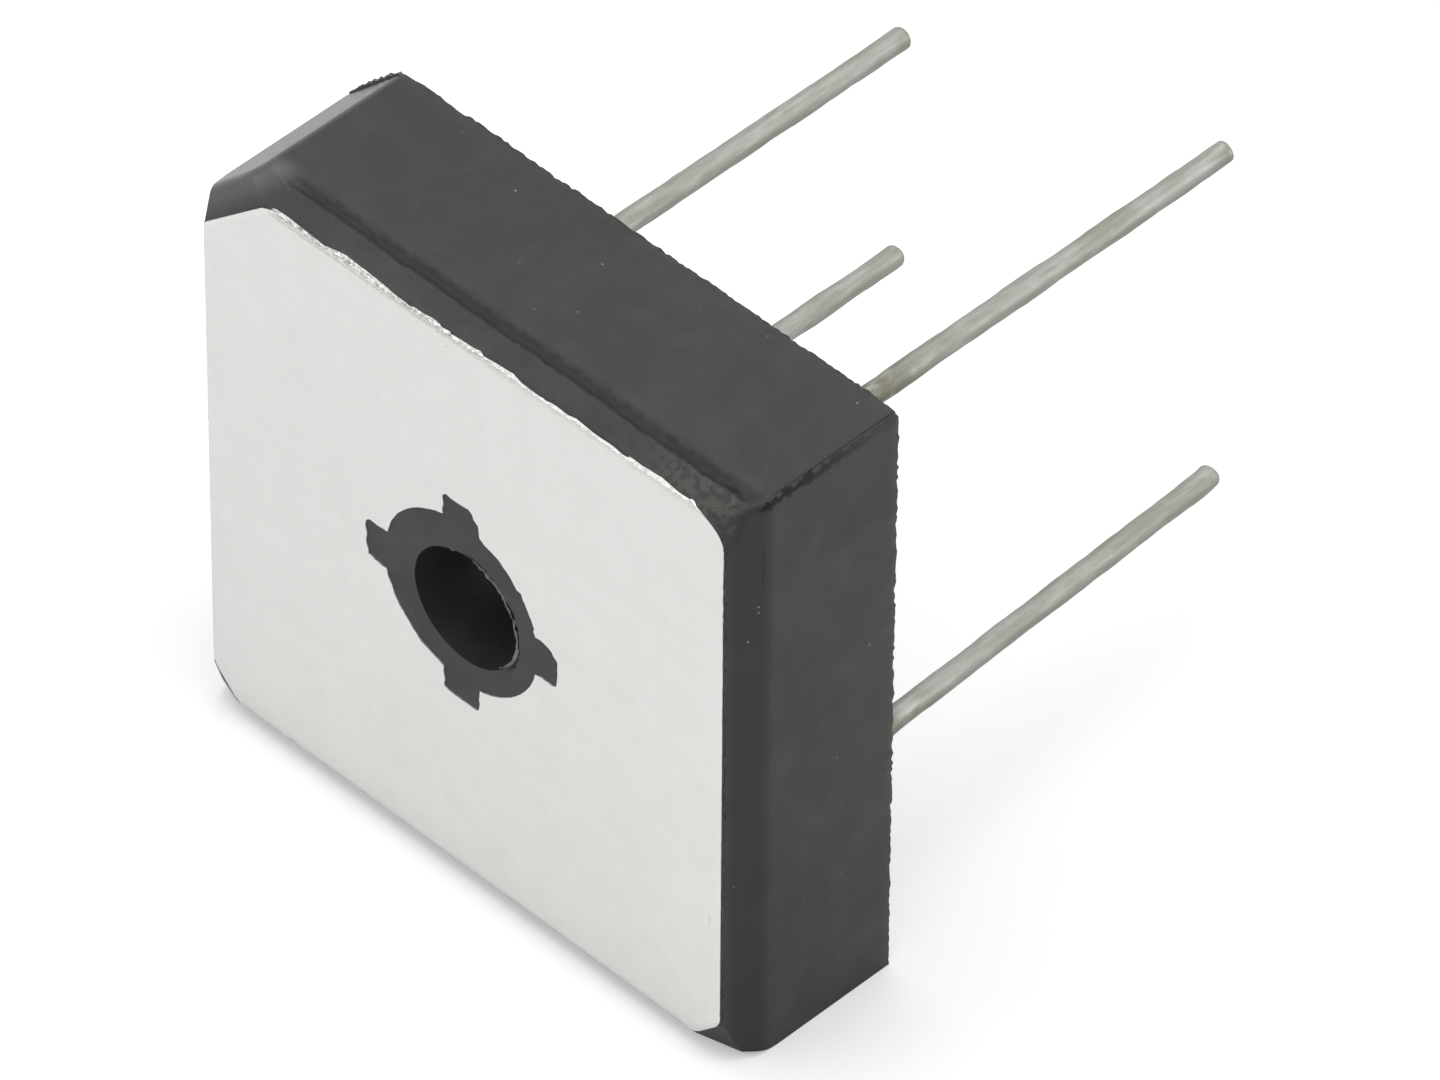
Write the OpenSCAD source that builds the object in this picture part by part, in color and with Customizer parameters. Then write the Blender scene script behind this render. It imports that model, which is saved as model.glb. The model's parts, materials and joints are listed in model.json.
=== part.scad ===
// Bridge rectifier in a flat square moulding: a metal base plate on one side, four wire leads on the other.
// It stands on its lower side face.  X is across the plate, Y runs from the plate to the lead tips, Z is up.
// The origin is the centre of the mounting hole, on the outer face of the plate.

/* [Moulded body] */
// Width of the body across its side faces
body_w = 28.6; // [28.4:0.1:30]
// Height of the body, from the face it stands on to the face above
body_h = 28.5; // [28.4:0.1:30]
// Depth of the body, from the outer face of the plate to the lead side
body_t = 8.2; // [7:0.1:10]
// Radius of the upper right corner
body_upper_r = 0.5; // [0.2:0.1:0.8]
// Radius of the two lower corners
body_lower_r = 0.1; // [0.05:0.05:0.5]
// Leg of the cut corner that marks the positive lead
body_key_cut = 2.9; // [2.6:0.1:3.2]
// Radius at both ends of the cut corner
body_key_r = 0.25; // [0.15:0.05:0.6]
// Width of the flat land beside the plate, at the right and above
land_w = 0.15; // [0.05:0.05:0.25]
// Depth at which the right and upper bevels reach the side faces
bevel_t = 1.45; // [1.2:0.05:1.8]
// Radius where the right bevel runs into its side face
bevel_r = 2.2; // [0.5:0.1:2.5]
// Depth at which the left and lower bevels reach the side faces
low_bevel_t = 2; // [1.5:0.05:2.3]
// Radius where the left and lower bevels run into the side faces
low_bevel_r = 3; // [1:0.1:3.5]
// Depth of the witness groove between the upper bevel and the upper face
groove_t = 0.24; // [0.12:0.01:0.3]

/* [Mounting hole] */
// Diameter of the hole for the mounting screw
bore_d = 5.3; // [5:0.1:5.6]
// Diameter of the relief at the mouth of the hole
mouth_d = 5.6; // [5.5:0.1:6]
// Depth of that relief
mouth_t = 0.15; // [0.1:0.05:0.4]
// How far the relief sits off the hole, to the right and up
mouth_shift = 0.12; // [0:0.01:0.2]

/* [Base plate] */
// Width of the plate
plate_w = 27.2; // [26.4:0.1:27.4]
// Height of the plate
plate_h = 27.4; // [26.4:0.1:27.4]
// Thickness of the plate
plate_t = 1.2; // [1:0.1:1.3]
// How far the plate sits to the left of the hole
plate_left = 0.14; // [0:0.01:0.2]
// How far the plate sits above the hole
plate_up = 0.1; // [0:0.01:0.2]
// Leg of the three small corner cuts
plate_corner_cut = 1.3; // [1:0.1:1.8]
// Leg of the large corner cut, along the upper edge
plate_key_x = 3.8; // [3.4:0.1:4]
// Leg of the large corner cut, down the side
plate_key_z = 3.4; // [3:0.1:3.6]
// How far the plate stands proud of the plastic round it
plate_proud = 0.05; // [0.05:0.05:0.2]
// Diameter of the round opening at the middle of the plate
opening_d = 8.1; // [7.6:0.1:8.6]
// Span across two opposite keying lugs of the opening
lug_span = 10.1; // [9.4:0.1:10.6]
// Width of a keying lug
lug_w = 1.9; // [1.5:0.1:2.3]

/* [Leads] */
// Diameter of the tinned copper wires
wire_d = 1; // [0.9:0.05:1.1]
// Radius on the cut end of a wire
wire_tip_r = 0.3; // [0.1:0.05:0.4]
// Distance between the leads at three corners of their square
lead_pitch = 18.1; // [17.6:0.1:18.6]
// Height of the positive lead above the lead below it
positive_pitch = 11.3; // [10.9:0.1:11.8]
// Free length of the positive lead
positive_len = 24.2; // [20:0.1:28]
// Free length of the first alternating-current lead, beside the upper right corner
ac_1_len = 22.9; // [20:0.1:28]
// Free length of the second alternating-current lead, beside the lower left corner
ac_2_len = 24.1; // [20:0.1:28]
// Free length of the negative lead
negative_len = 23.5; // [20:0.1:28]
// Angle by which the negative lead is bent where it leaves the body
negative_bend = 2; // [0.5:0.1:4]

/* [Circuit] */
// Edge of a square diode die
die_w = 3.6; // [3:0.1:4]
// Thickness of a die
die_t = 0.3; // [0.2:0.05:0.4]
// Thickness of the solder on each face of a die
solder_t = 0.1; // [0.05:0.05:0.15]
// Width of the copper straps
strap_w = 4.4; // [4.2:0.1:4.8]
// Thickness of the copper straps
strap_t = 0.5; // [0.4:0.05:0.6]
// Thickness of the moulding compound that insulates the circuit from the plate
insulation_t = 0.5; // [0.3:0.05:0.8]

/* [Hidden] */
$fn = 64;

plastic_colour = "#4c4c4f";
plate_colour = "#dbdbd9";
tin_colour = "#a9ab9c";
copper_colour = "#b87350";
silicon_colour = "#6f747c";
solder_colour = "#c3c5c8";

// Half sizes of the body, and the edges of the plate
side_x = body_w / 2;
side_z = body_h / 2;
plate_x0 = -plate_left - plate_w / 2;
plate_x1 = -plate_left + plate_w / 2;
plate_z0 = plate_up - plate_h / 2;
plate_z1 = plate_up + plate_h / 2;

// Radius of the plate's corners, and of the corner at the lower end of its large cut
plate_r = 1;
plate_key_r = 0.5;

// The corner facets of the body slope back from the plate at this rate
facet_slope = 0.48;

// The witness groove, from its front lip to the upper face: how far behind the bevel's nominal end each lies
groove_front = bevel_t - 0.45;
groove_floor = bevel_t - 0.25;
groove_back = bevel_t + 0.1;
groove_lip = 0.1;
groove_back_r = 0.1;

// How far the opening's centre sits above the plate's, and the radius of its lugs' corners
opening_up = 0.12;
lug_r = 0.25;

// Levels of the circuit, measured from the outer face of the plate
lower_strap_y = plate_t + insulation_t;
die_stack_y = lower_strap_y + strap_t;
die_y = die_stack_y + solder_t;
upper_solder_y = die_y + die_t;
upper_strap_y = upper_solder_y + solder_t;

// Places of the leads, as [x, z], and the offset of their square from the hole
lead_square = [0.05, -0.05];
ac_1_at = lead_square + [lead_pitch / 2, lead_pitch / 2];
ac_2_at = lead_square + [-lead_pitch / 2, -lead_pitch / 2];
negative_at = lead_square + [lead_pitch / 2, -lead_pitch / 2];
positive_at = ac_2_at + [0, positive_pitch];
top_left_at = lead_square + [-lead_pitch / 2, lead_pitch / 2];

// Places of the dice, as [x, z]: two on the positive strap, then two on the negative strap
die_at = [
    [0, ac_1_at[1]],
    [ac_2_at[0], -3.2],
    [ac_1_at[0], 0.5],
    [0.5, ac_2_at[1]]
];

// How far the solder stops short of each edge of its die
solder_inset = 0.15;

// The negative lead bends in an arc of this radius, in the plane that this angle turns about its axis
wire_bend_r = 6;
negative_bend_plane = 35;

// Bead swaged on each wire just inside the back face of the body, which locks it in the moulding
bead_d = 1.7;
bead_t = 0.7;
bead_depth = 0.1;

// Cone of solder round a wire: its foot, its top and its height
joint_d = 2.2;
joint_top_d = wire_d + 0.4;
joint_t = 0.6;

// Larger than any half diagonal, larger than any width, and more than any cut needs past a face
far = 21;
big = 2 * far;
slack = 1;

function unit(v) = v / norm(v);

// The two points at which a rounding arc touches the sides of its corner
function corner_touch(before, at, after, r) =
    let (
        u = unit(before - at),
        v = unit(after - at),
        reach = r / tan(acos(u * v) / 2)
    )
    r == 0 ? [at] : [at + u * reach, at + v * reach];

// The centre of that arc
function corner_centre(before, at, after, r) =
    let (
        u = unit(before - at),
        v = unit(after - at)
    )
    at + unit(u + v) * r / sin(acos(u * v) / 2);

// The round part of a corner, as a sector of a circle
module corner_sector(before, at, after, r) {
    touch = corner_touch(before, at, after, r);
    centre = corner_centre(before, at, after, r);
    intersection() {
        translate(centre) circle(r = r);
        polygon([centre, touch[0], at, touch[1]]);
    }
}

// A closed outline with a radius for each outward corner
module rounded_outline(points, radii) {
    n = len(points);
    polygon([
        for (i = [0 : n - 1])
            each corner_touch(points[(i + n - 1) % n], points[i], points[(i + 1) % n], radii[i])
    ]);
    for (i = [0 : n - 1])
        if (radii[i] > 0)
            corner_sector(points[(i + n - 1) % n], points[i], points[(i + 1) % n], radii[i]);
}

// An outline drawn in X and Z, made solid from one depth to another
module extrude_y(y0, y1) {
    translate([0, y1, 0]) rotate([90, 0, 0]) linear_extrude(y1 - y0) children();
}

// Outline of the body, seen from the plate side
module body_outline() {
    rounded_outline(
        [
            [side_x, -side_z],
            [side_x, side_z],
            [-side_x + body_key_cut, side_z],
            [-side_x, side_z - body_key_cut],
            [-side_x, -side_z]
        ],
        [body_lower_r, body_upper_r, body_key_r, body_key_r, body_lower_r]
    );
}

// Outline of the base plate, seen from the lead side
module plate_outline() {
    small = plate_corner_cut;
    rounded_outline(
        [
            [plate_x1 - small, plate_z0],
            [plate_x1, plate_z0 + small],
            [plate_x1, plate_z1 - small],
            [plate_x1 - small, plate_z1],
            [plate_x0 + plate_key_x, plate_z1],
            [plate_x0, plate_z1 - plate_key_z],
            [plate_x0, plate_z0 + small],
            [plate_x0 + small, plate_z0]
        ],
        [plate_r, plate_r, plate_r, plate_r, plate_r, plate_key_r, plate_r, plate_r]
    );
}

// Round opening of the plate with its four keying lugs
module opening_outline() {
    half = [lug_span / 2, lug_w / 2];
    translate([-plate_left, plate_up + opening_up]) {
        circle(d = opening_d);
        for (turn = [0, 90])
            rotate(turn)
                rounded_outline(
                    [[half[0], -half[1]], [half[0], half[1]], [-half[0], half[1]], [-half[0], -half[1]]],
                    [lug_r, lug_r, lug_r, lug_r]
                );
    }
}

// Section of the body in X and Y: a bevel from the plate at the left, and a land and a bevel at the right
module section_across() {
    rounded_outline(
        [
            [plate_x0, plate_proud],
            [plate_x1 + land_w, plate_proud],
            [side_x, bevel_t],
            [side_x, body_t],
            [-side_x, body_t],
            [-side_x, low_bevel_t]
        ],
        [0, 0, bevel_r, 0, 0, low_bevel_r]
    );
}

// Section of the body in Y and Z: a bevel below, and above the plate a bevel that ends at the witness groove
module section_upright() {
    rounded_outline(
        [
            [plate_proud, plate_z0],
            [low_bevel_t, -side_z],
            [body_t, -side_z],
            [body_t, side_z],
            [groove_back, side_z],
            [groove_floor, side_z - groove_t],
            [groove_front, side_z - groove_lip],
            [plate_proud, plate_z1 + land_w / 2]
        ],
        [0, low_bevel_r, 0, 0, groove_back_r, 0, 0, 0]
    );
}

// Section of the body across two opposite corners, with a facet at each that slopes back from the plate
module section_diagonal(front_0, front_1) {
    polygon([
        [-front_0, plate_proud],
        [front_1, plate_proud],
        [far, plate_proud + facet_slope * (far - front_1)],
        [far, body_t],
        [-far, body_t],
        [-far, plate_proud + facet_slope * (far - front_0)]
    ]);
}

// The body as moulded, before the circuit and the plate take their room
module body_block() {
    upper_left = (-plate_x0 + plate_z1 - (plate_key_x + plate_key_z) / 2) / sqrt(2);
    upper_right = (plate_x1 + plate_z1 - plate_corner_cut) / sqrt(2);
    lower_left = (-plate_x0 - plate_z0 - plate_corner_cut) / sqrt(2);
    lower_right = (plate_x1 - plate_z0 - plate_corner_cut) / sqrt(2);
    intersection() {
        extrude_y(plate_proud, body_t) body_outline();
        translate([0, 0, -far]) linear_extrude(big) section_across();
        rotate([90, 0, 90]) translate([0, 0, -far]) linear_extrude(big) section_upright();
        rotate([0, 45, 0]) translate([0, 0, -far]) linear_extrude(big) section_diagonal(upper_left, lower_right);
        rotate([0, -45, 0]) translate([0, 0, -far]) linear_extrude(big) section_diagonal(lower_left, upper_right);
    }
}

module body() {
    color(plastic_colour)
        difference() {
            union() {
                difference() {
                    body_block();
                    extrude_y(-slack, plate_t) plate_outline();
                }
                extrude_y(plate_proud / 2, plate_t) opening_outline();
            }
            translate([0, -slack, 0]) rotate([-90, 0, 0]) cylinder(h = body_t + 2 * slack, d = bore_d);
            translate([mouth_shift, -slack, mouth_shift])
                rotate([-90, 0, 0]) cylinder(h = mouth_t + slack, d = mouth_d);
            circuit_room();
        }
}

// Everything that the moulding compound flows round
module circuit_room() {
    wire_room(positive_at, lower_strap_y);
    wire_room(negative_at, lower_strap_y);
    wire_room(ac_1_at, upper_strap_y);
    wire_room(ac_2_at, upper_strap_y);
    strap_blank(die_at[0], top_left_at, die_at[1], lower_strap_y);
    strap_blank(die_at[2], negative_at, die_at[3], lower_strap_y);
    strap_blank(die_at[0], ac_1_at, die_at[2], upper_strap_y);
    strap_blank(die_at[1], ac_2_at, die_at[3], upper_strap_y);
    for (at = die_at) {
        solder_pad(at, die_stack_y);
        die(at);
        solder_pad(at, upper_solder_y);
    }
    for (at = [positive_at, negative_at])
        joint_cone(at, lower_strap_y + strap_t);
    for (at = [ac_1_at, ac_2_at])
        joint_cone(at, upper_strap_y + strap_t);
}

// The room of a wire and its bead, from the strap out through the back face
module wire_room(at, from_y) {
    translate([at[0], from_y, at[1]]) rotate([-90, 0, 0]) cylinder(h = body_t - from_y + slack, d = wire_d);
    locking_bead(at);
}

module base_plate() {
    color(plate_colour)
        extrude_y(0, plate_t)
            difference() {
                plate_outline();
                opening_outline();
            }
}

// A straight wire up Z with a rounded end
module wire(length) {
    rotate_extrude()
        rounded_outline(
            [[0, 0], [wire_d / 2, 0], [wire_d / 2, length], [0, length]],
            [0, 0, wire_tip_r, 0]
        );
}

// The bead of a wire
module locking_bead(at) {
    bead_y = body_t - bead_depth - bead_t;
    translate([at[0], bead_y, at[1]]) rotate([-90, 0, 0]) cylinder(h = bead_t, d = bead_d);
}

// A straight lead from its strap to its free end
module straight_lead(at, from_y, free_len) {
    color(tin_colour) {
        translate([at[0], from_y, at[1]]) rotate([-90, 0, 0]) wire(body_t - from_y + free_len);
        locking_bead(at);
    }
}

module lead_positive() {
    straight_lead(positive_at, lower_strap_y, positive_len);
}

module lead_ac_1() {
    straight_lead(ac_1_at, upper_strap_y, ac_1_len);
}

module lead_ac_2() {
    straight_lead(ac_2_at, upper_strap_y, ac_2_len);
}

// The bent lead: straight inside the body, a short arc, then straight again
module lead_negative() {
    arc_len = wire_bend_r * negative_bend * PI / 180;
    color(tin_colour) {
        locking_bead(negative_at);
        translate([negative_at[0], lower_strap_y, negative_at[1]]) rotate([-90, negative_bend_plane, 0]) {
            cylinder(h = body_t - lower_strap_y, d = wire_d);
            translate([-wire_bend_r, 0, body_t - lower_strap_y])
                rotate([90, 0, 0]) rotate_extrude(angle = negative_bend) translate([wire_bend_r, 0]) circle(d = wire_d);
            translate([-wire_bend_r, 0, body_t - lower_strap_y])
                rotate([0, -negative_bend, 0]) translate([wire_bend_r, 0, 0]) wire(negative_len - arc_len);
        }
    }
}

// Two strap arms that meet at a corner
module strap_blank(end_a, corner, end_b, from_y) {
    extrude_y(from_y, from_y + strap_t) {
        strap_arm(end_a, corner);
        strap_arm(corner, end_b);
    }
}

// A copper strap with a hole for its wire
module strap(end_a, corner, end_b, wire_at, from_y) {
    color(copper_colour)
        difference() {
            strap_blank(end_a, corner, end_b, from_y);
            wire_hole(wire_at, from_y);
        }
}

// The room of a wire that passes up through a strap or a joint
module wire_hole(at, from_y) {
    translate([at[0], from_y - slack, at[1]]) rotate([-90, 0, 0]) cylinder(h = 3 * slack, d = wire_d);
}

// A bar that covers two places and reaches past them by half its width
module strap_arm(from, to) {
    reach = strap_w / 2;
    low = [min(from[0], to[0]) - reach, min(from[1], to[1]) - reach];
    high = [max(from[0], to[0]) + reach, max(from[1], to[1]) + reach];
    translate(low) square(high - low);
}

module strap_positive() {
    strap(die_at[0], top_left_at, die_at[1], positive_at, lower_strap_y);
}

module strap_negative() {
    strap(die_at[2], negative_at, die_at[3], negative_at, lower_strap_y);
}

module strap_ac_1() {
    strap(die_at[0], ac_1_at, die_at[2], ac_1_at, upper_strap_y);
}

module strap_ac_2() {
    strap(die_at[1], ac_2_at, die_at[3], ac_2_at, upper_strap_y);
}

// A square of silicon, cathode on one face and anode on the other
module die(at) {
    color(silicon_colour)
        translate([at[0] - die_w / 2, die_y, at[1] - die_w / 2]) cube([die_w, die_t, die_w]);
}

// Solder between a die and a strap
module solder_pad(at, from_y) {
    pad_w = die_w - 2 * solder_inset;
    color(solder_colour)
        translate([at[0] - pad_w / 2, from_y, at[1] - pad_w / 2]) cube([pad_w, solder_t, pad_w]);
}

// Solder coned up round a wire where it leaves its strap
module solder_joint(at, from_y) {
    color(solder_colour)
        difference() {
            joint_cone(at, from_y);
            wire_hole(at, from_y);
        }
}

module joint_cone(at, from_y) {
    translate([at[0], from_y, at[1]]) rotate([-90, 0, 0])
        cylinder(h = joint_t, d1 = joint_d, d2 = joint_top_d);
}

module joint_positive() {
    solder_joint(positive_at, lower_strap_y + strap_t);
}

module joint_negative() {
    solder_joint(negative_at, lower_strap_y + strap_t);
}

module joint_ac_1() {
    solder_joint(ac_1_at, upper_strap_y + strap_t);
}

module joint_ac_2() {
    solder_joint(ac_2_at, upper_strap_y + strap_t);
}

body();
base_plate();
lead_positive();
lead_negative();
lead_ac_1();
lead_ac_2();
strap_positive();
strap_negative();
strap_ac_1();
strap_ac_2();
die(die_at[0]);  // die_1
die(die_at[1]);  // die_2
die(die_at[2]);  // die_3
die(die_at[3]);  // die_4
solder_pad(die_at[0], die_stack_y);  // solder_1_lower
solder_pad(die_at[0], upper_solder_y);  // solder_1_upper
solder_pad(die_at[1], die_stack_y);  // solder_2_lower
solder_pad(die_at[1], upper_solder_y);  // solder_2_upper
solder_pad(die_at[2], die_stack_y);  // solder_3_lower
solder_pad(die_at[2], upper_solder_y);  // solder_3_upper
solder_pad(die_at[3], die_stack_y);  // solder_4_lower
solder_pad(die_at[3], upper_solder_y);  // solder_4_upper
joint_positive();
joint_negative();
joint_ac_1();
joint_ac_2();
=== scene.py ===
import json
import math

import bmesh
import bpy
from mathutils import Matrix, Vector


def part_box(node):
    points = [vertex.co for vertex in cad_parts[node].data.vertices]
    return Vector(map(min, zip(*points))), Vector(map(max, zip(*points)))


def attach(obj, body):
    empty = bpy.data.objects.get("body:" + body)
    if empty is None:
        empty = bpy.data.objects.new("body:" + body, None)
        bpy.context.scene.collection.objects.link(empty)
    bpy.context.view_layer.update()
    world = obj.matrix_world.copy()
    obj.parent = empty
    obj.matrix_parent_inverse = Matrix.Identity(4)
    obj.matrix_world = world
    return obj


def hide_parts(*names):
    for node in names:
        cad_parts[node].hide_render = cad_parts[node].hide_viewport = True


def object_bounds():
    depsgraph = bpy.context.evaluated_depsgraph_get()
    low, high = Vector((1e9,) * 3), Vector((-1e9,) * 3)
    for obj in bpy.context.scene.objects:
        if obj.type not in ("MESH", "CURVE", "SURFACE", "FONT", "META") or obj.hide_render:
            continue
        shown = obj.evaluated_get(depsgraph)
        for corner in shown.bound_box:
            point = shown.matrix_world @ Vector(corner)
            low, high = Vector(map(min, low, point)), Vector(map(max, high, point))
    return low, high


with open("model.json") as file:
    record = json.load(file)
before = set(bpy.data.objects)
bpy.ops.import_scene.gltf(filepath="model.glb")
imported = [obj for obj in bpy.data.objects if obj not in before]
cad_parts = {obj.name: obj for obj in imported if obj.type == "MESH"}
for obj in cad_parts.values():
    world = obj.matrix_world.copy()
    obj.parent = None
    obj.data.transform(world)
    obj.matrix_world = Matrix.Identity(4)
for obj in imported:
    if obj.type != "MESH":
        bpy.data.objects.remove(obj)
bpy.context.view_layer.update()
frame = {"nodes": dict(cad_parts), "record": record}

# Bridge rectifier: a charcoal epoxy moulding with a bare metal plate in front and four tinned wires behind.
# Lengths are written in millimetres, and mm() turns them to metres.


def mm(length):
    return length / 1000


def linear(hexColour):
    # an sRGB hex colour as linear red, green, blue and alpha
    parts = [int(hexColour[i:i + 2], 16) / 255 for i in (1, 3, 5)]
    return [c / 12.92 if c <= 0.04045 else ((c + 0.055) / 1.055) ** 2.4 for c in parts] + [1]


def addNode(tree, kind, inputs=(), **settings):
    # adds a node with its settings, and sets or links its inputs, which come in their order or by key.
    # A map range node takes a value, its least and greatest, and what these turn to, or else 0 and 1.
    # A colour mix node takes the share in input 0 and its two colours in inputs 6 and 7
    node = tree.nodes.new(kind)
    for key, value in settings.items():
        setattr(node, key, value)
    pairs = inputs.items() if isinstance(inputs, dict) else enumerate(inputs)
    for key, value in pairs:
        if isinstance(value, bpy.types.NodeSocket):
            tree.links.new(value, node.inputs[key])
        else:
            node.inputs[key].default_value = value
    return node


def startMaterial(name, constants):
    # a material with the numbers that are the same all over it, ready for its patterns
    material = bpy.data.materials.new(name)
    material.use_nodes = True
    tree = material.node_tree
    tree.nodes.clear()
    surface = addNode(tree, "ShaderNodeBsdfPrincipled", constants)
    addNode(tree, "ShaderNodeOutputMaterial", {"Surface": surface.outputs[0]})
    place = addNode(tree, "ShaderNodeTexCoord").outputs["Object"]
    return material, tree, surface, place


def mottle(tree, place, size, detail=3, rough=0.5):
    # a soft grey pattern round 0.5, with spots of that many millimetres along each axis
    scaled = addNode(
        tree, "ShaderNodeMapping", {"Vector": place, "Scale": [1000 / s for s in size]},
    ).outputs[0]
    settings = {"Vector": scaled, "Scale": 1, "Detail": detail, "Roughness": rough}
    return addNode(tree, "ShaderNodeTexNoise", settings).outputs[0]


# Camera: a long lens to the right of the part, above it and in front
view = {
    "azimuth": 44.717,
    "elevation": 44.019,
    "roll": 0.449,
    "lens": 383.72,
    "away": 567.77,
    "aside": 9.48,
    "above": 2.55,
}


def placeCamera():
    azimuth, elevation, roll = (math.radians(view[k]) for k in ("azimuth", "elevation", "roll"))
    flat = math.cos(elevation)
    back = Vector((math.sin(azimuth) * flat, -math.cos(azimuth) * flat, math.sin(elevation)))
    right = Vector((0, 0, 1)).cross(back).normalized()
    up = back.cross(right)
    turned = right * math.cos(roll) + up * math.sin(roll), up * math.cos(roll) - right * math.sin(roll)
    camera = bpy.data.objects.new("camera", bpy.data.cameras.new("camera"))
    bpy.context.scene.collection.objects.link(camera)
    camera.data.lens = view["lens"]
    camera.data.clip_start = 0.01
    seat = turned[0] * mm(view["aside"]) + turned[1] * mm(view["above"]) + back * mm(view["away"])
    camera.matrix_world = Matrix.Translation(seat) @ Matrix((*turned, back)).transposed().to_4x4()
    bpy.context.scene.camera = camera


placeCamera()
print("camera in place")

# Floor and light: a white table under soft boxes
studio = {
    "floorHalf": 1500,  # half the floor's side, in millimetres
    "floorShade": "#f2f2f2",
    "floorLift": 0.28,  # added where the camera looks at the floor, so that it reads as white
    "worldShade": "#ffffff",
    "worldStrength": 0.6,
    # name: (place in millimetres, what it faces, width, height, power in watts)
    "lamps": {
        "top": ((-100, 50, 700), 600, 600, 1.7),
        "frontLeft": ((-450, -500, 300), 400, 400, 1.0),
        "rearRight": ((500, 450, 250), 400, 400, 1.0),
    },
}


def buildStudio():
    scene = bpy.context.scene
    scene.view_settings.view_transform = "Standard"
    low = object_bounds()[0][2]
    bpy.ops.object.select_all(action="DESELECT")
    bpy.ops.mesh.primitive_plane_add(size=mm(2 * studio["floorHalf"]), location=(0, 0, low))
    floor = bpy.context.object
    floor.name = "floor"
    bpy.ops.object.transform_apply(location=True, rotation=True, scale=True)
    material = bpy.data.materials.new("whiteTable")
    material.use_nodes = True
    tree = material.node_tree
    tree.nodes.clear()
    paint = addNode(tree, "ShaderNodeBsdfDiffuse", {"Color": linear(studio["floorShade"])})
    seen = addNode(tree, "ShaderNodeLightPath").outputs["Is Camera Ray"]
    lift = addNode(tree, "ShaderNodeMath", (seen, studio["floorLift"]), operation="MULTIPLY").outputs[0]
    glow = addNode(tree, "ShaderNodeEmission", {"Strength": lift})
    table = addNode(tree, "ShaderNodeAddShader", {0: paint.outputs[0], 1: glow.outputs[0]})
    addNode(tree, "ShaderNodeOutputMaterial", {"Surface": table.outputs[0]})
    floor.data.materials.append(material)
    world = bpy.data.worlds.new("studioAir")
    scene.world = world
    world.use_nodes = True
    tree = world.node_tree
    tree.nodes.clear()
    seen = addNode(tree, "ShaderNodeLightPath")
    direct = addNode(
        tree, "ShaderNodeMath", (seen.outputs["Is Camera Ray"], seen.outputs["Is Glossy Ray"]),
        operation="MAXIMUM",
    ).outputs[0]
    strength = addNode(
        tree, "ShaderNodeMapRange", (direct, 0, 1, studio["worldStrength"], 1),
        interpolation_type="SMOOTHSTEP",
    ).outputs[0]
    air = addNode(tree, "ShaderNodeBackground", {"Color": linear(studio["worldShade"]), "Strength": strength})
    addNode(tree, "ShaderNodeOutputWorld", {"Surface": air.outputs[0]})
    for name, (spot, width, height, power) in studio["lamps"].items():
        lamp = bpy.data.objects.new(name, bpy.data.lights.new(name, "AREA"))
        scene.collection.objects.link(lamp)
        lamp.data.shape = "RECTANGLE"
        lamp.data.size, lamp.data.size_y = mm(width), mm(height)
        lamp.data.energy = power
        spot = Vector([mm(v) for v in spot])
        lamp.matrix_world = Matrix.Translation(spot) @ spot.to_track_quat("Z", "Y").to_matrix().to_4x4()


buildStudio()
print("floor, world and lamps in place")

# Charcoal epoxy moulding compound, transfer moulded: nearly black resin full of fine silica, so it has a
# low broad sheen, faint cloudy patches where the filler settled, and a few pale grains of filler at the skin.
# The corner cut left a polished area of the mould, so it is glossier; the right bevel is painted darker, as
# painted shade
epoxyLook = {
    "deep": "#242427",
    "cloud": "#2d2c2a",
    # the darker colour that the painted shade mixes towards
    "shadeTone": "#151516",
    "stain": "#423b2d",
    "crumb": "#4b4841",
    "grit": "#7d7f76",
    "cloudSize": 1.6,
    "stainSize": (2.2, 1.2, 2.2),
    "gritSize": 0.5,  # spacing of the grains
    "grain": (0.14, 0.014),  # size and height of the skin's fine relief
    "gloss": (0.44, 0.56),  # least and most roughness
    "polished": 0.26,
}
# where each mark and each painted shade on the moulding begins and ends, and how softly, in millimetres
epoxyMarks = {
    "bevelAcross": (13.72, 15, 0.08),
    "bevelDeep": (-1, 1.75, 0.35),
    "grooveDeep": (0.98, 1.56, 0.14),
    "grooveAcross": (-10, 13.6, 1.3),
    "edgeSide": (0.02, 0.46, 0.08),
    "crackRadius": (2.7, 2.92, 0.03),
    "gapAcross": (13.5, 13.57, 0.02),
    "gapUp": (-12.4, 12.2, 0.2),
    "scratchDeep": (1.3, 1.36, 0.03),
    "scratchUp": (9.8, 12.2, 0.5),
    "crumbAcross": (9.5, 14.2, 1.2),
}


def within(tree, value, low, high, soft):
    # one between two places along an axis, in millimetres, and nothing outside them
    rising = addNode(
        tree, "ShaderNodeMapRange", (value, mm(low - soft), mm(low + soft)),
        interpolation_type="SMOOTHSTEP",
    ).outputs[0]
    falling = addNode(
        tree, "ShaderNodeMapRange", (value, mm(high - soft), mm(high + soft), 1, 0),
        interpolation_type="SMOOTHSTEP",
    ).outputs[0]
    return addNode(tree, "ShaderNodeMath", (rising, falling), operation="MULTIPLY").outputs[0]


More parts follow.
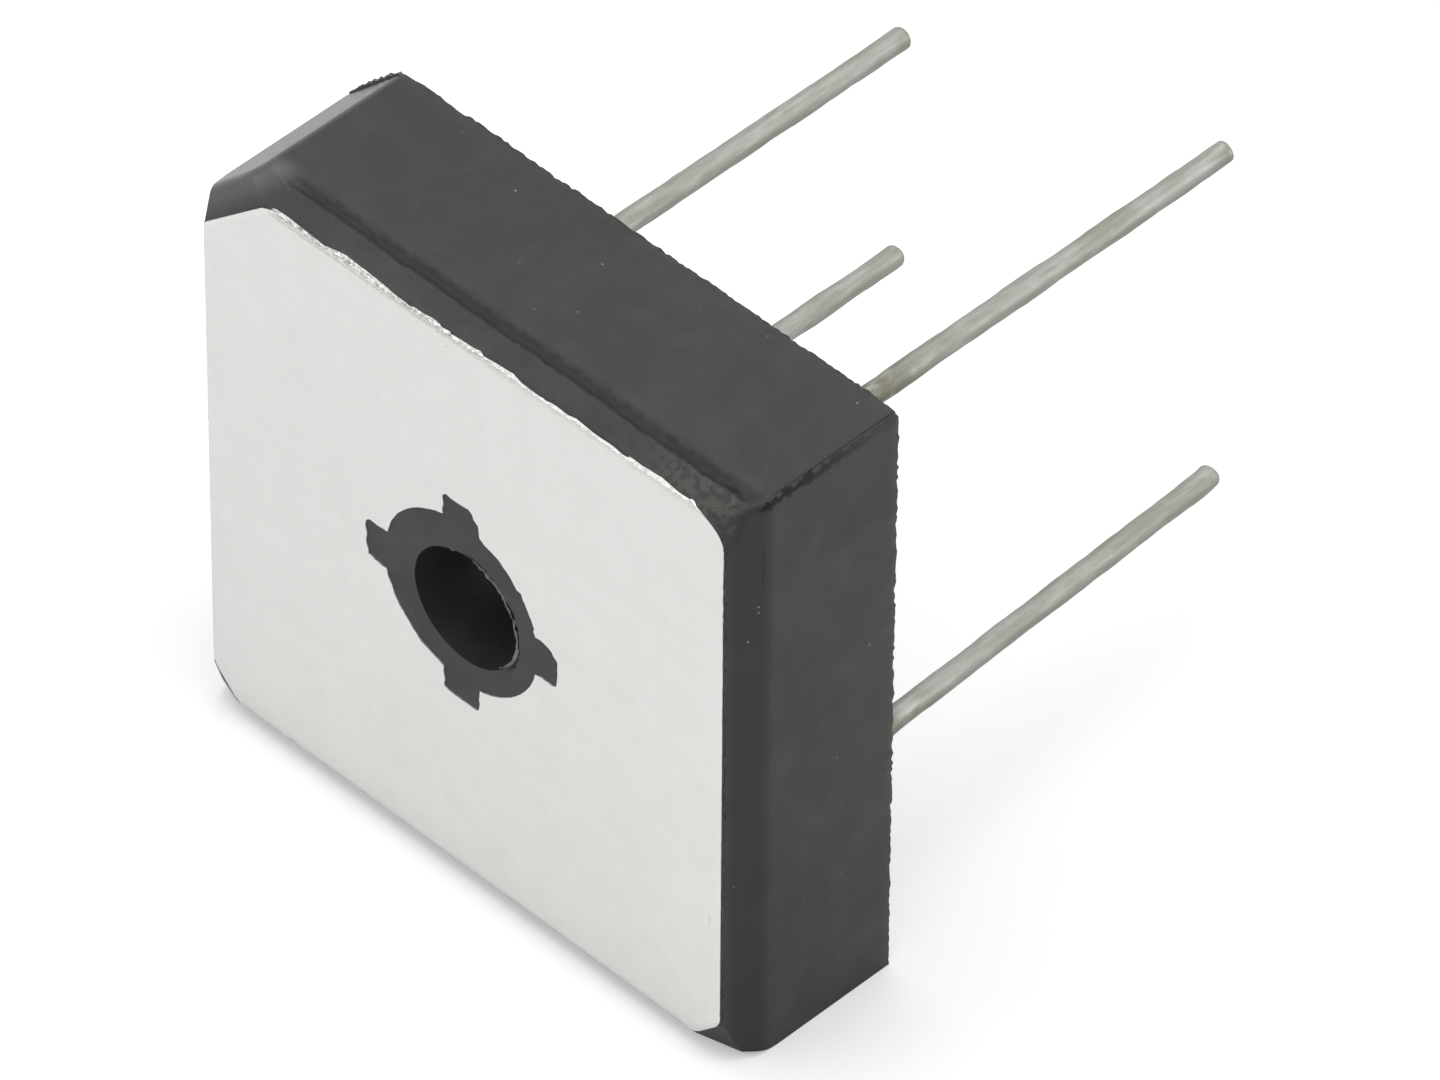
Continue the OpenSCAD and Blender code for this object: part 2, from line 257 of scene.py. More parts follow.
def mouldedEpoxy():
    material, tree, surface, place = startMaterial("mouldedEpoxy", {"IOR": 1.5, "Metallic": 0})
    across, deep, up = addNode(tree, "ShaderNodeSeparateXYZ", {0: place}).outputs
    size = epoxyLook["cloudSize"]
    cloud = addNode(
        tree, "ShaderNodeMapRange", (mottle(tree, place, (size, size, size), 4, 0.6), 0.42, 0.7),
        interpolation_type="SMOOTHSTEP",
    ).outputs[0]
    paint = addNode(
        tree, "ShaderNodeMix", {0: cloud, 6: linear(epoxyLook["deep"]), 7: linear(epoxyLook["cloud"])},
        data_type="RGBA",
    ).outputs[2]
    stain = addNode(
        tree, "ShaderNodeMapRange", (mottle(tree, place, epoxyLook["stainSize"], 5, 0.65), 0.6, 0.78),
        interpolation_type="SMOOTHSTEP",
    ).outputs[0]
    # a brownish stain over the last millimetre before the back face
    rear = addNode(
        tree, "ShaderNodeMath",
        (
            addNode(
                tree, "ShaderNodeMapRange", (deep, mm(7.2), mm(8.2)), interpolation_type="SMOOTHSTEP",
            ).outputs[0],
            addNode(
                tree, "ShaderNodeMapRange", (mottle(tree, place, (0.5, 0.5, 0.5), 4), 0.35, 0.6),
                interpolation_type="SMOOTHSTEP",
            ).outputs[0],
        ),
        operation="MULTIPLY",
    ).outputs[0]
    stain = addNode(
        tree, "ShaderNodeMath",
        (
            addNode(tree, "ShaderNodeMath", (stain, 0.2), operation="MULTIPLY").outputs[0],
            addNode(tree, "ShaderNodeMath", (rear, 0.4), operation="MULTIPLY").outputs[0],
        ),
        operation="MAXIMUM",
    ).outputs[0]
    paint = addNode(
        tree, "ShaderNodeMix", {0: stain, 6: paint, 7: linear(epoxyLook["stain"])}, data_type="RGBA",
    ).outputs[2]
    # painted shade on the right bevel, beside the plate
    bevel = addNode(
        tree, "ShaderNodeMath",
        (within(tree, across, *epoxyMarks["bevelAcross"]), within(tree, deep, *epoxyMarks["bevelDeep"])),
        operation="MULTIPLY",
    ).outputs[0]
    # unevenness that the narrow marks share
    wander = addNode(
        tree, "ShaderNodeMapRange", (mottle(tree, place, (0.35, 0.35, 0.35), 3), 0, 1, mm(-0.4), mm(0.4)),
        interpolation_type="SMOOTHSTEP",
    ).outputs[0]
    drift = addNode(
        tree, "ShaderNodeMath",
        (deep, addNode(tree, "ShaderNodeMath", (wander, 0.35), operation="MULTIPLY").outputs[0]),
        operation="ADD",
    ).outputs[0]
    # shade in the groove under the upper face
    groove = addNode(
        tree, "ShaderNodeMath",
        (
            within(tree, drift, *epoxyMarks["grooveDeep"]),
            addNode(
                tree, "ShaderNodeMapRange", (up, mm(13.2), mm(13.6)), interpolation_type="SMOOTHSTEP",
            ).outputs[0],
        ),
        operation="MULTIPLY",
    ).outputs[0]
    groove = addNode(
        tree, "ShaderNodeMath", (groove, within(tree, across, *epoxyMarks["grooveAcross"])),
        operation="MULTIPLY",
    ).outputs[0]
    # shade along the edge of the upper and right faces, fading towards the back
    side = addNode(
        tree, "ShaderNodeMath",
        (addNode(tree, "ShaderNodeMath", (across, up), operation="SUBTRACT").outputs[0], wander),
        operation="ADD",
    ).outputs[0]
    edge = addNode(
        tree, "ShaderNodeMath",
        (
            addNode(
                tree, "ShaderNodeMapRange",
                (
                    addNode(tree, "ShaderNodeMath", (across, up), operation="ADD").outputs[0], mm(27.95),
                    mm(28.1),
                ),
                interpolation_type="SMOOTHSTEP",
            ).outputs[0],
            within(tree, side, *epoxyMarks["edgeSide"]),
        ),
        operation="MULTIPLY",
    ).outputs[0]
    edge = addNode(
        tree, "ShaderNodeMath",
        (
            edge,
            addNode(
                tree, "ShaderNodeMapRange", (deep, mm(2), mm(8), 1, 0.35), interpolation_type="SMOOTHSTEP",
            ).outputs[0],
        ),
        operation="MULTIPLY",
    ).outputs[0]
    # painted shade in the crack behind the lip in the bore, only near its mouth
    flat = addNode(tree, "ShaderNodeVectorMath", {0: place, 1: (1, 0, 1)}, operation="MULTIPLY").outputs[0]
    radius = addNode(
        tree, "ShaderNodeMath",
        (
            addNode(tree, "ShaderNodeVectorMath", {0: flat}, operation="LENGTH").outputs["Value"],
            addNode(tree, "ShaderNodeMath", (wander, 0.5), operation="MULTIPLY").outputs[0],
        ),
        operation="ADD",
    ).outputs[0]
    crackShade = addNode(
        tree, "ShaderNodeMath",
        (
            within(tree, radius, *epoxyMarks["crackRadius"]),
            addNode(
                tree, "ShaderNodeMapRange",
                (
                    addNode(
                        tree, "ShaderNodeMath",
                        (
                            across,
                            addNode(tree, "ShaderNodeMath", (up, 0.5), operation="MULTIPLY").outputs[0],
                        ),
                        operation="ADD",
                    ).outputs[0],
                    mm(1), mm(2),
                ),
                interpolation_type="SMOOTHSTEP",
            ).outputs[0],
        ),
        operation="MULTIPLY",
    ).outputs[0]
    crackShade = addNode(
        tree, "ShaderNodeMath",
        (
            crackShade,
            addNode(
                tree, "ShaderNodeMapRange", (deep, mm(0.5), mm(0.7), 1, 0), interpolation_type="SMOOTHSTEP",
            ).outputs[0],
        ),
        operation="MULTIPLY",
    ).outputs[0]
    # painted shade in the thin gap at the right of the plate
    plateGapShade = within(
        tree,
        addNode(
            tree, "ShaderNodeMath",
            (across, addNode(tree, "ShaderNodeMath", (wander, 0.25), operation="MULTIPLY").outputs[0]),
            operation="ADD",
        ).outputs[0],
        *epoxyMarks["gapAcross"],
    )
    plateGapShade = addNode(
        tree, "ShaderNodeMath",
        (
            plateGapShade,
            addNode(
                tree, "ShaderNodeMath",
                (
                    within(tree, up, *epoxyMarks["gapUp"]),
                    addNode(
                        tree, "ShaderNodeMapRange", (deep, mm(0.2), mm(0.3), 0.8, 0),
                        interpolation_type="SMOOTHSTEP",
                    ).outputs[0],
                ),
                operation="MULTIPLY",
            ).outputs[0],
        ),
        operation="MULTIPLY",
    ).outputs[0]
    # a scratch on the right bevel, near its top, painted dark as the shade in it
    scratchShade = within(
        tree,
        addNode(
            tree, "ShaderNodeMath",
            (deep, addNode(tree, "ShaderNodeMath", (wander, 0.2), operation="MULTIPLY").outputs[0]),
            operation="ADD",
        ).outputs[0],
        *epoxyMarks["scratchDeep"],
    )
    scratchShade = addNode(
        tree, "ShaderNodeMath",
        (
            addNode(
                tree, "ShaderNodeMath",
                (
                    scratchShade,
                    addNode(
                        tree, "ShaderNodeMapRange", (across, mm(13.6), mm(13.7), 0, 0.6),
                        interpolation_type="SMOOTHSTEP",
                    ).outputs[0],
                ),
                operation="MULTIPLY",
            ).outputs[0],
            within(tree, up, *epoxyMarks["scratchUp"]),
        ),
        operation="MULTIPLY",
    ).outputs[0]
    # gap gathers the painted shade of the deep places, and the mask after it gathers all the painted shade
    gap = addNode(
        tree, "ShaderNodeMath",
        (
            addNode(tree, "ShaderNodeMath", (crackShade, plateGapShade), operation="MAXIMUM").outputs[0],
            addNode(
                tree, "ShaderNodeMath",
                (scratchShade, addNode(tree, "ShaderNodeMath", (edge, 0.5), operation="MULTIPLY").outputs[0]),
                operation="MAXIMUM",
            ).outputs[0],
        ),
        operation="MAXIMUM",
    ).outputs[0]
    paintedShade = addNode(
        tree, "ShaderNodeMath",
        (addNode(tree, "ShaderNodeMath", (groove, gap), operation="MAXIMUM").outputs[0], edge),
        operation="MAXIMUM",
    ).outputs[0]
    # the polished corner cut, and the facet in front of it
    cornerCut = addNode(
        tree, "ShaderNodeMapRange",
        (
            addNode(tree, "ShaderNodeMath", (up, across), operation="SUBTRACT").outputs[0], mm(25.45),
            mm(25.6),
        ),
        interpolation_type="SMOOTHSTEP",
    ).outputs[0]
    facet = addNode(
        tree, "ShaderNodeMath",
        (
            addNode(
                tree, "ShaderNodeMapRange",
                (
                    addNode(tree, "ShaderNodeMath", (up, across), operation="SUBTRACT").outputs[0], mm(24),
                    mm(25.2), 0, 0.6,
                ),
                interpolation_type="SMOOTHSTEP",
            ).outputs[0],
            addNode(
                tree, "ShaderNodeMapRange", (deep, mm(1.2), mm(2.2), 1, 0), interpolation_type="SMOOTHSTEP",
            ).outputs[0],
        ),
        operation="MULTIPLY",
    ).outputs[0]
    # the painted shade also lowers the sheen, most in the deep places
    dull = addNode(
        tree, "ShaderNodeMapRange",
        (
            addNode(
                tree, "ShaderNodeMath",
                (paintedShade, addNode(tree, "ShaderNodeMath", (gap, 1.6), operation="MULTIPLY").outputs[0]),
                operation="ADD",
            ).outputs[0],
            0, 2.6, 0.5, 0.12,
        ),
        interpolation_type="SMOOTHSTEP",
    ).outputs[0]
    dull = addNode(tree, "ShaderNodeMath", (dull, facet), operation="ADD").outputs[0]
    tree.links.new(
        addNode(
            tree, "ShaderNodeMath",
            (dull, addNode(tree, "ShaderNodeMath", (cornerCut, 0.14), operation="MULTIPLY").outputs[0]),
            operation="ADD",
        ).outputs[0],
        surface.inputs["Specular IOR Level"],
    )
    # painted shade: the right bevel and every shaded place, mixed towards a darker colour
    shade = addNode(
        tree, "ShaderNodeMath",
        (addNode(tree, "ShaderNodeMath", (bevel, 0.85), operation="MULTIPLY").outputs[0], paintedShade),
        operation="MAXIMUM",
    ).outputs[0]
    # crumbs of filler on the front of the upper face, towards the right
    crumbs = addNode(
        tree, "ShaderNodeMath",
        (
            within(tree, across, *epoxyMarks["crumbAcross"]),
            addNode(
                tree, "ShaderNodeMath",
                (
                    addNode(
                        tree, "ShaderNodeMapRange", (up, mm(12.6), mm(13.4)),
                        interpolation_type="SMOOTHSTEP",
                    ).outputs[0],
                    addNode(
                        tree, "ShaderNodeMapRange", (deep, mm(0.95), mm(1.1), 1, 0),
                        interpolation_type="SMOOTHSTEP",
                    ).outputs[0],
                ),
                operation="MULTIPLY",
            ).outputs[0],
        ),
        operation="MULTIPLY",
    ).outputs[0]
    crumbs = addNode(
        tree, "ShaderNodeMath",
        (
            crumbs,
            addNode(
                tree, "ShaderNodeMapRange", (mottle(tree, place, (0.3, 0.3, 0.3), 3), 0.4, 0.6),
                interpolation_type="SMOOTHSTEP",
            ).outputs[0],
        ),
        operation="MULTIPLY",
    ).outputs[0]
    paint = addNode(
        tree, "ShaderNodeMix",
        {
            0: addNode(tree, "ShaderNodeMath", (crumbs, 0.7), operation="MULTIPLY").outputs[0],
            6: paint,
            7: linear(epoxyLook["crumb"]),
        },
        data_type="RGBA",
    ).outputs[2]
    paint = addNode(
        tree, "ShaderNodeMix", {0: shade, 6: paint, 7: linear(epoxyLook["shadeTone"])}, data_type="RGBA",
    ).outputs[2]
    # grains of filler at the skin, here and there
    chance = addNode(
        tree, "ShaderNodeMapRange", (mottle(tree, place, (0.8, 0.8, 0.8), 1), 0.66, 0.7),
        interpolation_type="SMOOTHSTEP",
    ).outputs[0]
    cells = addNode(
        tree, "ShaderNodeTexVoronoi",
        {"Vector": place, "Scale": 1000 / epoxyLook["gritSize"], "Randomness": 1},
    )
    grit = addNode(
        tree, "ShaderNodeMath",
        (
            addNode(
                tree, "ShaderNodeMapRange", (cells.outputs["Distance"], 0.06, 0.14, 1, 0),
                interpolation_type="SMOOTHSTEP",
            ).outputs[0],
            chance,
        ),
        operation="MULTIPLY",
    ).outputs[0]
    tree.links.new(
        addNode(
            tree, "ShaderNodeMix", {0: grit, 6: paint, 7: linear(epoxyLook["grit"])}, data_type="RGBA",
        ).outputs[2],
        surface.inputs["Base Color"],
    )
    size = 3 * epoxyLook["cloudSize"]
    patch = mottle(tree, place, (size, size, size), 2)
    rough = addNode(
        tree, "ShaderNodeMapRange", (patch, 0.3, 0.7, *epoxyLook["gloss"]), interpolation_type="SMOOTHSTEP",
    ).outputs[0]
    rough = addNode(tree, "ShaderNodeMix", {0: cornerCut, 2: rough, 3: epoxyLook["polished"]}).outputs[0]
    tree.links.new(rough, surface.inputs["Roughness"])
    size, height = epoxyLook["grain"]
    relief = mottle(tree, place, (size, size, size), 4, 0.6)
    bump = addNode(tree, "ShaderNodeBump", {"Height": relief, "Distance": mm(height), "Strength": 0.6})
    tree.links.new(bump.outputs[0], surface.inputs["Normal"])
    return material


# Thin flash of the same resin, duller than the moulding: its front is painted pale as a painted highlight
# where the thin lip catches the light, and it is painted dark deeper in, as painted shade inside the bore
def thinResin():
    material, tree, surface, place = startMaterial("thinResin", {"IOR": 1.5, "Metallic": 0, "Roughness": 0.7})
    deep = addNode(tree, "ShaderNodeSeparateXYZ", {0: place}).outputs[1]
    patch = mottle(tree, place, (0.25, 0.25, 0.25), 4, 0.6)
    # painted highlight on the lip's front, in patches
    pale = addNode(
        tree, "ShaderNodeMix", {0: patch, 6: linear("#585853"), 7: linear("#83827a")}, data_type="RGBA",
    ).outputs[2]
    depth = addNode(
        tree, "ShaderNodeMath",
        (
            deep,
            addNode(
                tree, "ShaderNodeMapRange", (patch, 0, 1, mm(-0.15), mm(0.15)),
                interpolation_type="SMOOTHSTEP",
            ).outputs[0],
        ),
        operation="ADD",
    ).outputs[0]
    # painted shade: near black where the lip lies deeper than about 0.3 mm
    tree.links.new(
        addNode(
            tree, "ShaderNodeMix",
            {
                0: addNode(
                    tree, "ShaderNodeMapRange", (depth, mm(0.25), mm(0.35)),
                    interpolation_type="SMOOTHSTEP",
                ).outputs[0],
                6: pale,
                7: linear("#0c0c0c"),
            },
            data_type="RGBA",
        ).outputs[2],
        surface.inputs["Base Color"],
    )
    bump = addNode(tree, "ShaderNodeBump", {"Height": patch, "Distance": mm(0.03), "Strength": 0.6})
    tree.links.new(bump.outputs[0], surface.inputs["Normal"])
    return material


# Bare aluminium sheet, blanked and left as rolled: pale satin metal with a faint grain along one way
plateLook = {
    "metal": "#f0efed",
    "dull": "#ecebe9",
    # grey of the torn metal and the marks, also used for the painted shadow line under the burr's crest
    "torn": "#b4b3ae",
    "rollGrain": (0.05, 0.4, 3.0),
    "patch": 2.5,
    "tear": 0.13,
    "tornEdge": 13.45,
    # a speck and a scratch of two strokes: left, right, low and high
    "marks": ((-0.84, -0.78, 12.76, 12.82), (12.87, 12.89, -7.4, -6.7), (12.95, 12.97, -7.1, -6.9)),
}


def rolledAluminium():
    material, tree, surface, place = startMaterial("rolledAluminium", {"Metallic": 1})
    size = plateLook["patch"]
    patch = addNode(
        tree, "ShaderNodeMapRange", (mottle(tree, place, (size, size, size), 5, 0.65), 0.35, 0.7),
        interpolation_type="SMOOTHSTEP",
    ).outputs[0]
    grain = mottle(tree, place, plateLook["rollGrain"], 2)
    across, deep, up = addNode(tree, "ShaderNodeSeparateXYZ", {0: place}).outputs
    size = plateLook["tear"]
    specks = mottle(tree, place, (size, size, size), 3, 0.6)
    height = addNode(
        tree, "ShaderNodeMath",
        (
            up,
            addNode(
                tree, "ShaderNodeMapRange", (specks, 0.3, 0.7, mm(-0.04), mm(0.04)),
                interpolation_type="SMOOTHSTEP",
            ).outputs[0],
        ),
        operation="ADD",
    ).outputs[0]
    height = addNode(
        tree, "ShaderNodeMath",
        (
            height,
            addNode(
                tree, "ShaderNodeMapRange", (across, mm(-4), mm(3), 0, mm(0.06)),
                interpolation_type="SMOOTHSTEP",
            ).outputs[0],
        ),
        operation="SUBTRACT",
    ).outputs[0]
    along = addNode(
        tree, "ShaderNodeMath",
        (
            addNode(
                tree, "ShaderNodeMapRange", (across, mm(-10.4), mm(-9.9)), interpolation_type="SMOOTHSTEP",
            ).outputs[0],
            addNode(
                tree, "ShaderNodeMapRange", (across, mm(-2), mm(5), 1, 0.5),
                interpolation_type="SMOOTHSTEP",
            ).outputs[0],
        ),
        operation="MULTIPLY",
    ).outputs[0]
    tornAt = plateLook["tornEdge"]
    torn = addNode(
        tree, "ShaderNodeMath",
        (
            addNode(
                tree, "ShaderNodeMapRange", (height, mm(tornAt - 0.15), mm(tornAt - 0.11)),
                interpolation_type="SMOOTHSTEP",
            ).outputs[0],
            addNode(
                tree, "ShaderNodeMapRange", (specks, 0.42, 0.56, 0.15, 0.9),
                interpolation_type="SMOOTHSTEP",
            ).outputs[0],
        ),
        operation="MULTIPLY",
    ).outputs[0]
    # a painted shadow line, at half strength, in the trough below the burr's crest
    torn = addNode(
        tree, "ShaderNodeMath",
        (
            torn,
            addNode(
                tree, "ShaderNodeMath", (within(tree, height, tornAt - 0.27, tornAt - 0.17, 0.03), 0.5),
                operation="MULTIPLY",
            ).outputs[0],
        ),
        operation="MAXIMUM",
    ).outputs[0]
    torn = addNode(tree, "ShaderNodeMath", (torn, along), operation="MULTIPLY").outputs[0]
    for left, right, low, high in plateLook["marks"]:
        mark = addNode(
            tree, "ShaderNodeMath",
            (within(tree, across, left, right, 0.02), within(tree, up, low, high, 0.02)),
            operation="MULTIPLY",
        ).outputs[0]
        torn = addNode(tree, "ShaderNodeMath", (torn, mark), operation="MAXIMUM").outputs[0]
    metal = addNode(
        tree, "ShaderNodeMix", {0: patch, 6: linear(plateLook["metal"]), 7: linear(plateLook["dull"])},
        data_type="RGBA",
    ).outputs[2]
    tree.links.new(
        addNode(
            tree, "ShaderNodeMix", {0: torn, 6: metal, 7: linear(plateLook["torn"])}, data_type="RGBA",
        ).outputs[2],
        surface.inputs["Base Color"],
    )
    tree.links.new(
        addNode(
            tree, "ShaderNodeMapRange", (patch, 0, 1, 0.4, 0.46), interpolation_type="SMOOTHSTEP",
        ).outputs[0],
        surface.inputs["Roughness"],
    )
    relief = addNode(
        tree, "ShaderNodeMath",
        (
            grain,
            addNode(
                tree, "ShaderNodeMath",
                (addNode(tree, "ShaderNodeMath", (specks, 3), operation="MULTIPLY").outputs[0], torn),
                operation="MULTIPLY",
            ).outputs[0],
        ),
        operation="ADD",
    ).outputs[0]
    bump = addNode(tree, "ShaderNodeBump", {"Height": relief, "Distance": mm(0.004), "Strength": 0.4})
    tree.links.new(bump.outputs[0], surface.inputs["Normal"])
    return material


# Tinned copper wire, drawn and dipped: a dull greenish grey coat, smeared along the wire
# and darker and browner towards its foot, next to the moulding
tinLook = {"coat": "#a3a49b", "bright": "#b3b3b0", "footTone": "#58543a", "smear": (0.3, 2.4, 0.3)}


def tinnedWire():
    material, tree, surface, place = startMaterial("tinnedWire", {"Metallic": 1})
    deep = addNode(tree, "ShaderNodeSeparateXYZ", {0: place}).outputs[1]
    smear = addNode(
        tree, "ShaderNodeMapRange", (mottle(tree, place, tinLook["smear"], 4, 0.6), 0.35, 0.65),
        interpolation_type="SMOOTHSTEP",
    ).outputs[0]
    spots = mottle(tree, place, (0.8, 1.6, 0.8), 4, 0.6)
    foot = addNode(
        tree, "ShaderNodeMath",
        (
            addNode(
                tree, "ShaderNodeMapRange", (deep, mm(9.5), mm(16), 1, 0.2),
                interpolation_type="SMOOTHSTEP",
            ).outputs[0],
            addNode(
                tree, "ShaderNodeMapRange", (spots, 0.26, 0.56), interpolation_type="SMOOTHSTEP",
            ).outputs[0],
        ),
        operation="MULTIPLY",
    ).outputs[0]
    coat = addNode(
        tree, "ShaderNodeMix", {0: smear, 6: linear(tinLook["coat"]), 7: linear(tinLook["bright"])},
        data_type="RGBA",
    ).outputs[2]
    tree.links.new(
        addNode(
            tree, "ShaderNodeMix", {0: foot, 6: coat, 7: linear(tinLook["footTone"])}, data_type="RGBA",
        ).outputs[2],
        surface.inputs["Base Color"],
    )
    tree.links.new(
        addNode(
            tree, "ShaderNodeMapRange", (smear, 0, 1, 0.61, 0.57), interpolation_type="SMOOTHSTEP",
        ).outputs[0],
        surface.inputs["Roughness"],
    )
    grain = mottle(tree, place, (0.06, 0.2, 0.06), 3)
    bump = addNode(tree, "ShaderNodeBump", {"Height": grain, "Distance": mm(0.006), "Strength": 0.4})
    tree.links.new(bump.outputs[0], surface.inputs["Normal"])
    return material


# Half-hard copper strip: warm rolled metal with a faint grain along the strip
def copperStrip():
    material, tree, surface, place = startMaterial("copperStrip", {"Metallic": 1})
    grain = mottle(tree, place, (0.8, 0.8, 0.05), 3)
    tree.links.new(
        addNode(
            tree, "ShaderNodeMix", {0: grain, 6: linear("#c98664"), 7: linear("#a96a4a")}, data_type="RGBA",
        ).outputs[2],
        surface.inputs["Base Color"],
    )
    tree.links.new(
        addNode(
            tree, "ShaderNodeMapRange", (grain, 0.3, 0.7, 0.3, 0.42), interpolation_type="SMOOTHSTEP",
        ).outputs[0],
        surface.inputs["Roughness"],
    )
    return material


# Sawn and etched silicon: dark grey, hard and slightly mirror-like
def etchedSilicon():
    material, tree, surface, place = startMaterial("etchedSilicon", {"IOR": 3.4, "Metallic": 0})
    patch = mottle(tree, place, (0.6, 0.6, 0.6), 3)
    tree.links.new(
        addNode(
            tree, "ShaderNodeMix", {0: patch, 6: linear("#4a4d54"), 7: linear("#5e6068")}, data_type="RGBA",
        ).outputs[2],
        surface.inputs["Base Color"],
    )
    tree.links.new(
        addNode(
            tree, "ShaderNodeMapRange", (patch, 0.3, 0.7, 0.2, 0.3), interpolation_type="SMOOTHSTEP",
        ).outputs[0],
        surface.inputs["Roughness"],
    )
    return material


# Tin-lead solder, frozen from a melt: bright grey with a frosty grain
def frozenSolder():
    material, tree, surface, place = startMaterial("frozenSolder", {"Metallic": 1})
    frost = mottle(tree, place, (0.2, 0.2, 0.2), 4)
    tree.links.new(
        addNode(
            tree, "ShaderNodeMix", {0: frost, 6: linear("#b9bbbd"), 7: linear("#d3d4d4")}, data_type="RGBA",
        ).outputs[2],
        surface.inputs["Base Color"],
    )
    tree.links.new(
        addNode(
            tree, "ShaderNodeMapRange", (frost, 0.3, 0.7, 0.3, 0.45), interpolation_type="SMOOTHSTEP",
        ).outputs[0],
        surface.inputs["Roughness"],
    )
    return material


finishes = {
    "plastic": mouldedEpoxy(),
    "thinResin": thinResin(),
    "plate": rolledAluminium(),
    "tin": tinnedWire(),
    "copper": copperStrip(),
    "silicon": etchedSilicon(),
    "solder": frozenSolder(),
}
for part in frame["record"]["subparts"]:
    mesh = frame["nodes"][part["node"]].data
    mesh.materials.clear()
    mesh.materials.append(finishes[part["material_slot"]])
print("materials made")


def takeAlone(piece):
    bpy.ops.object.select_all(action="DESELECT")
    piece.select_set(True)
    bpy.context.view_layer.objects.active = piece


def openForEdit(piece, kind="FACE"):
    takeAlone(piece)
    bpy.ops.object.mode_set(mode="EDIT")
    bpy.ops.mesh.select_mode(type=kind)
    bpy.ops.mesh.select_all(action="DESELECT")


def closeEdit():
    bpy.ops.object.mode_set(mode="OBJECT")


def pick(piece, kind, test):
    # selects the points, edges or faces whose middle, in millimetres, and outward direction pass the test
    bpy.ops.mesh.select_mode(type=kind)
    bpy.ops.mesh.select_all(action="DESELECT")
    mesh = bmesh.from_edit_mesh(piece.data)
    found = 0
    if kind == "VERT":
        for point in mesh.verts:
            point.select = test(point.co * 1000, point.normal)
            found += point.select
    elif kind == "EDGE":
        for edge in mesh.edges:
            first, second = (v.co * 1000 for v in edge.verts)
            edge.select = test((first + second) / 2, (second - first).normalized())
            found += edge.select
    else:
        for face in mesh.faces:
            face.select = test(face.calc_center_median() * 1000, face.normal)
            found += face.select
    mesh.select_flush_mode()
    bmesh.update_edit_mesh(piece.data)
    return found


def score(piece, test, axis, places):
    # cuts the faces that pass the test across one axis at each place, and keeps both sides
    direction = [0, 0, 0]
    direction[axis] = 1
    for place in places:
        pick(piece, "FACE", test)
        spot = [0, 0, 0]
        spot[axis] = mm(place)
        bpy.ops.mesh.bisect(plane_co=spot, plane_no=direction)


def steps(first, last, step):
    count = max(1, round((last - first) / step))
    return [first + (last - first) * i / count for i in range(count + 1)]


def weigh(piece, name, weight):
    # a vertex group whose weight at each point is given by its place in millimetres, made anew each time
    if name in piece.vertex_groups:
        piece.vertex_groups.remove(piece.vertex_groups[name])
    group = piece.vertex_groups.new(name=name)
    for point in piece.data.vertices:
        amount = weight(point.co * 1000)
        if amount > 0:
            group.add([point.index], min(amount, 1), "REPLACE")


def push(piece, group, direction, strength, grainSize=None, middle=0.5, depth=2):
    # moves a vertex group along an axis or its normals, evenly or by cloud noise of a grain size
    displace = piece.modifiers.new(group, "DISPLACE")
    displace.vertex_group = group
    displace.direction = direction
    displace.strength = mm(strength)
    if grainSize:
        clouds = bpy.data.textures.new(group, "CLOUDS")
        clouds.noise_scale = mm(grainSize)
        clouds.noise_depth = depth
        displace.texture = clouds
        displace.mid_level = middle
    else:
        displace.mid_level = 0
    applyLast(piece)


def applyLast(piece):
    takeAlone(piece)
    bpy.ops.object.modifier_apply(modifier=piece.modifiers[-1].name)


def flattenTo(piece, axis, level, outside):
    # brings back to a level whatever passed it
    openForEdit(piece, "VERT")
    factor, centre = [1, 1, 1], [0, 0, 0]
    factor[axis], centre[axis] = 0, mm(level)
    if pick(piece, "VERT", lambda at, way: (at[axis] - level) * outside > 0):
        bpy.ops.transform.resize(value=factor, center_override=centre)
    closeEdit()


def cut(piece, tool):
    # takes a tool's shape out of a piece and throws the tool away
    difference = piece.modifiers.new("cut", "BOOLEAN")
    difference.operation = "DIFFERENCE"
    difference.solver = "EXACT"
    difference.object = tool
    applyLast(piece)
    bpy.data.objects.remove(tool)


def merged(node, name):
    # a copy of a CAD node with its loose triangles joined into whole flat faces
    piece = frame["nodes"][node].copy()
    piece.data = piece.data.copy()
    piece.name = name
    for key in list(piece.keys()):
        del piece[key]
    piece.parent = None
    bpy.context.scene.collection.objects.link(piece)
    openForEdit(piece, "VERT")
    bpy.ops.mesh.select_all(action="SELECT")
    bpy.ops.mesh.remove_doubles(threshold=mm(0.001))
    bpy.ops.mesh.dissolve_limited(angle_limit=math.radians(0.5))
    closeEdit()
    return piece


def finish(piece, slot, replaced, smoothAngle=30):
    takeAlone(piece)
    bpy.ops.object.transform_apply(location=True, rotation=True, scale=True)
    bpy.ops.object.shade_smooth_by_angle(angle=math.radians(smoothAngle))
    even = piece.modifiers.new("even", "WEIGHTED_NORMAL")
    even.keep_sharp = True
    applyLast(piece)
    piece.vertex_groups.clear()
    piece.data.materials.clear()
    piece.data.materials.append(finishes[slot])
    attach(piece, "root")
    if replaced:
        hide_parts(*replaced)
    print(piece.name, len(piece.data.polygons), "faces")


def eased(value, low, high):
    share = min(max((value - low) / (high - low), 0), 1)
    return share * share * (3 - 2 * share)


bodyLow, bodyHigh = (corner * 1000 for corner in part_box("body"))
plateLow, plateHigh = (corner * 1000 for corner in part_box("base_plate"))

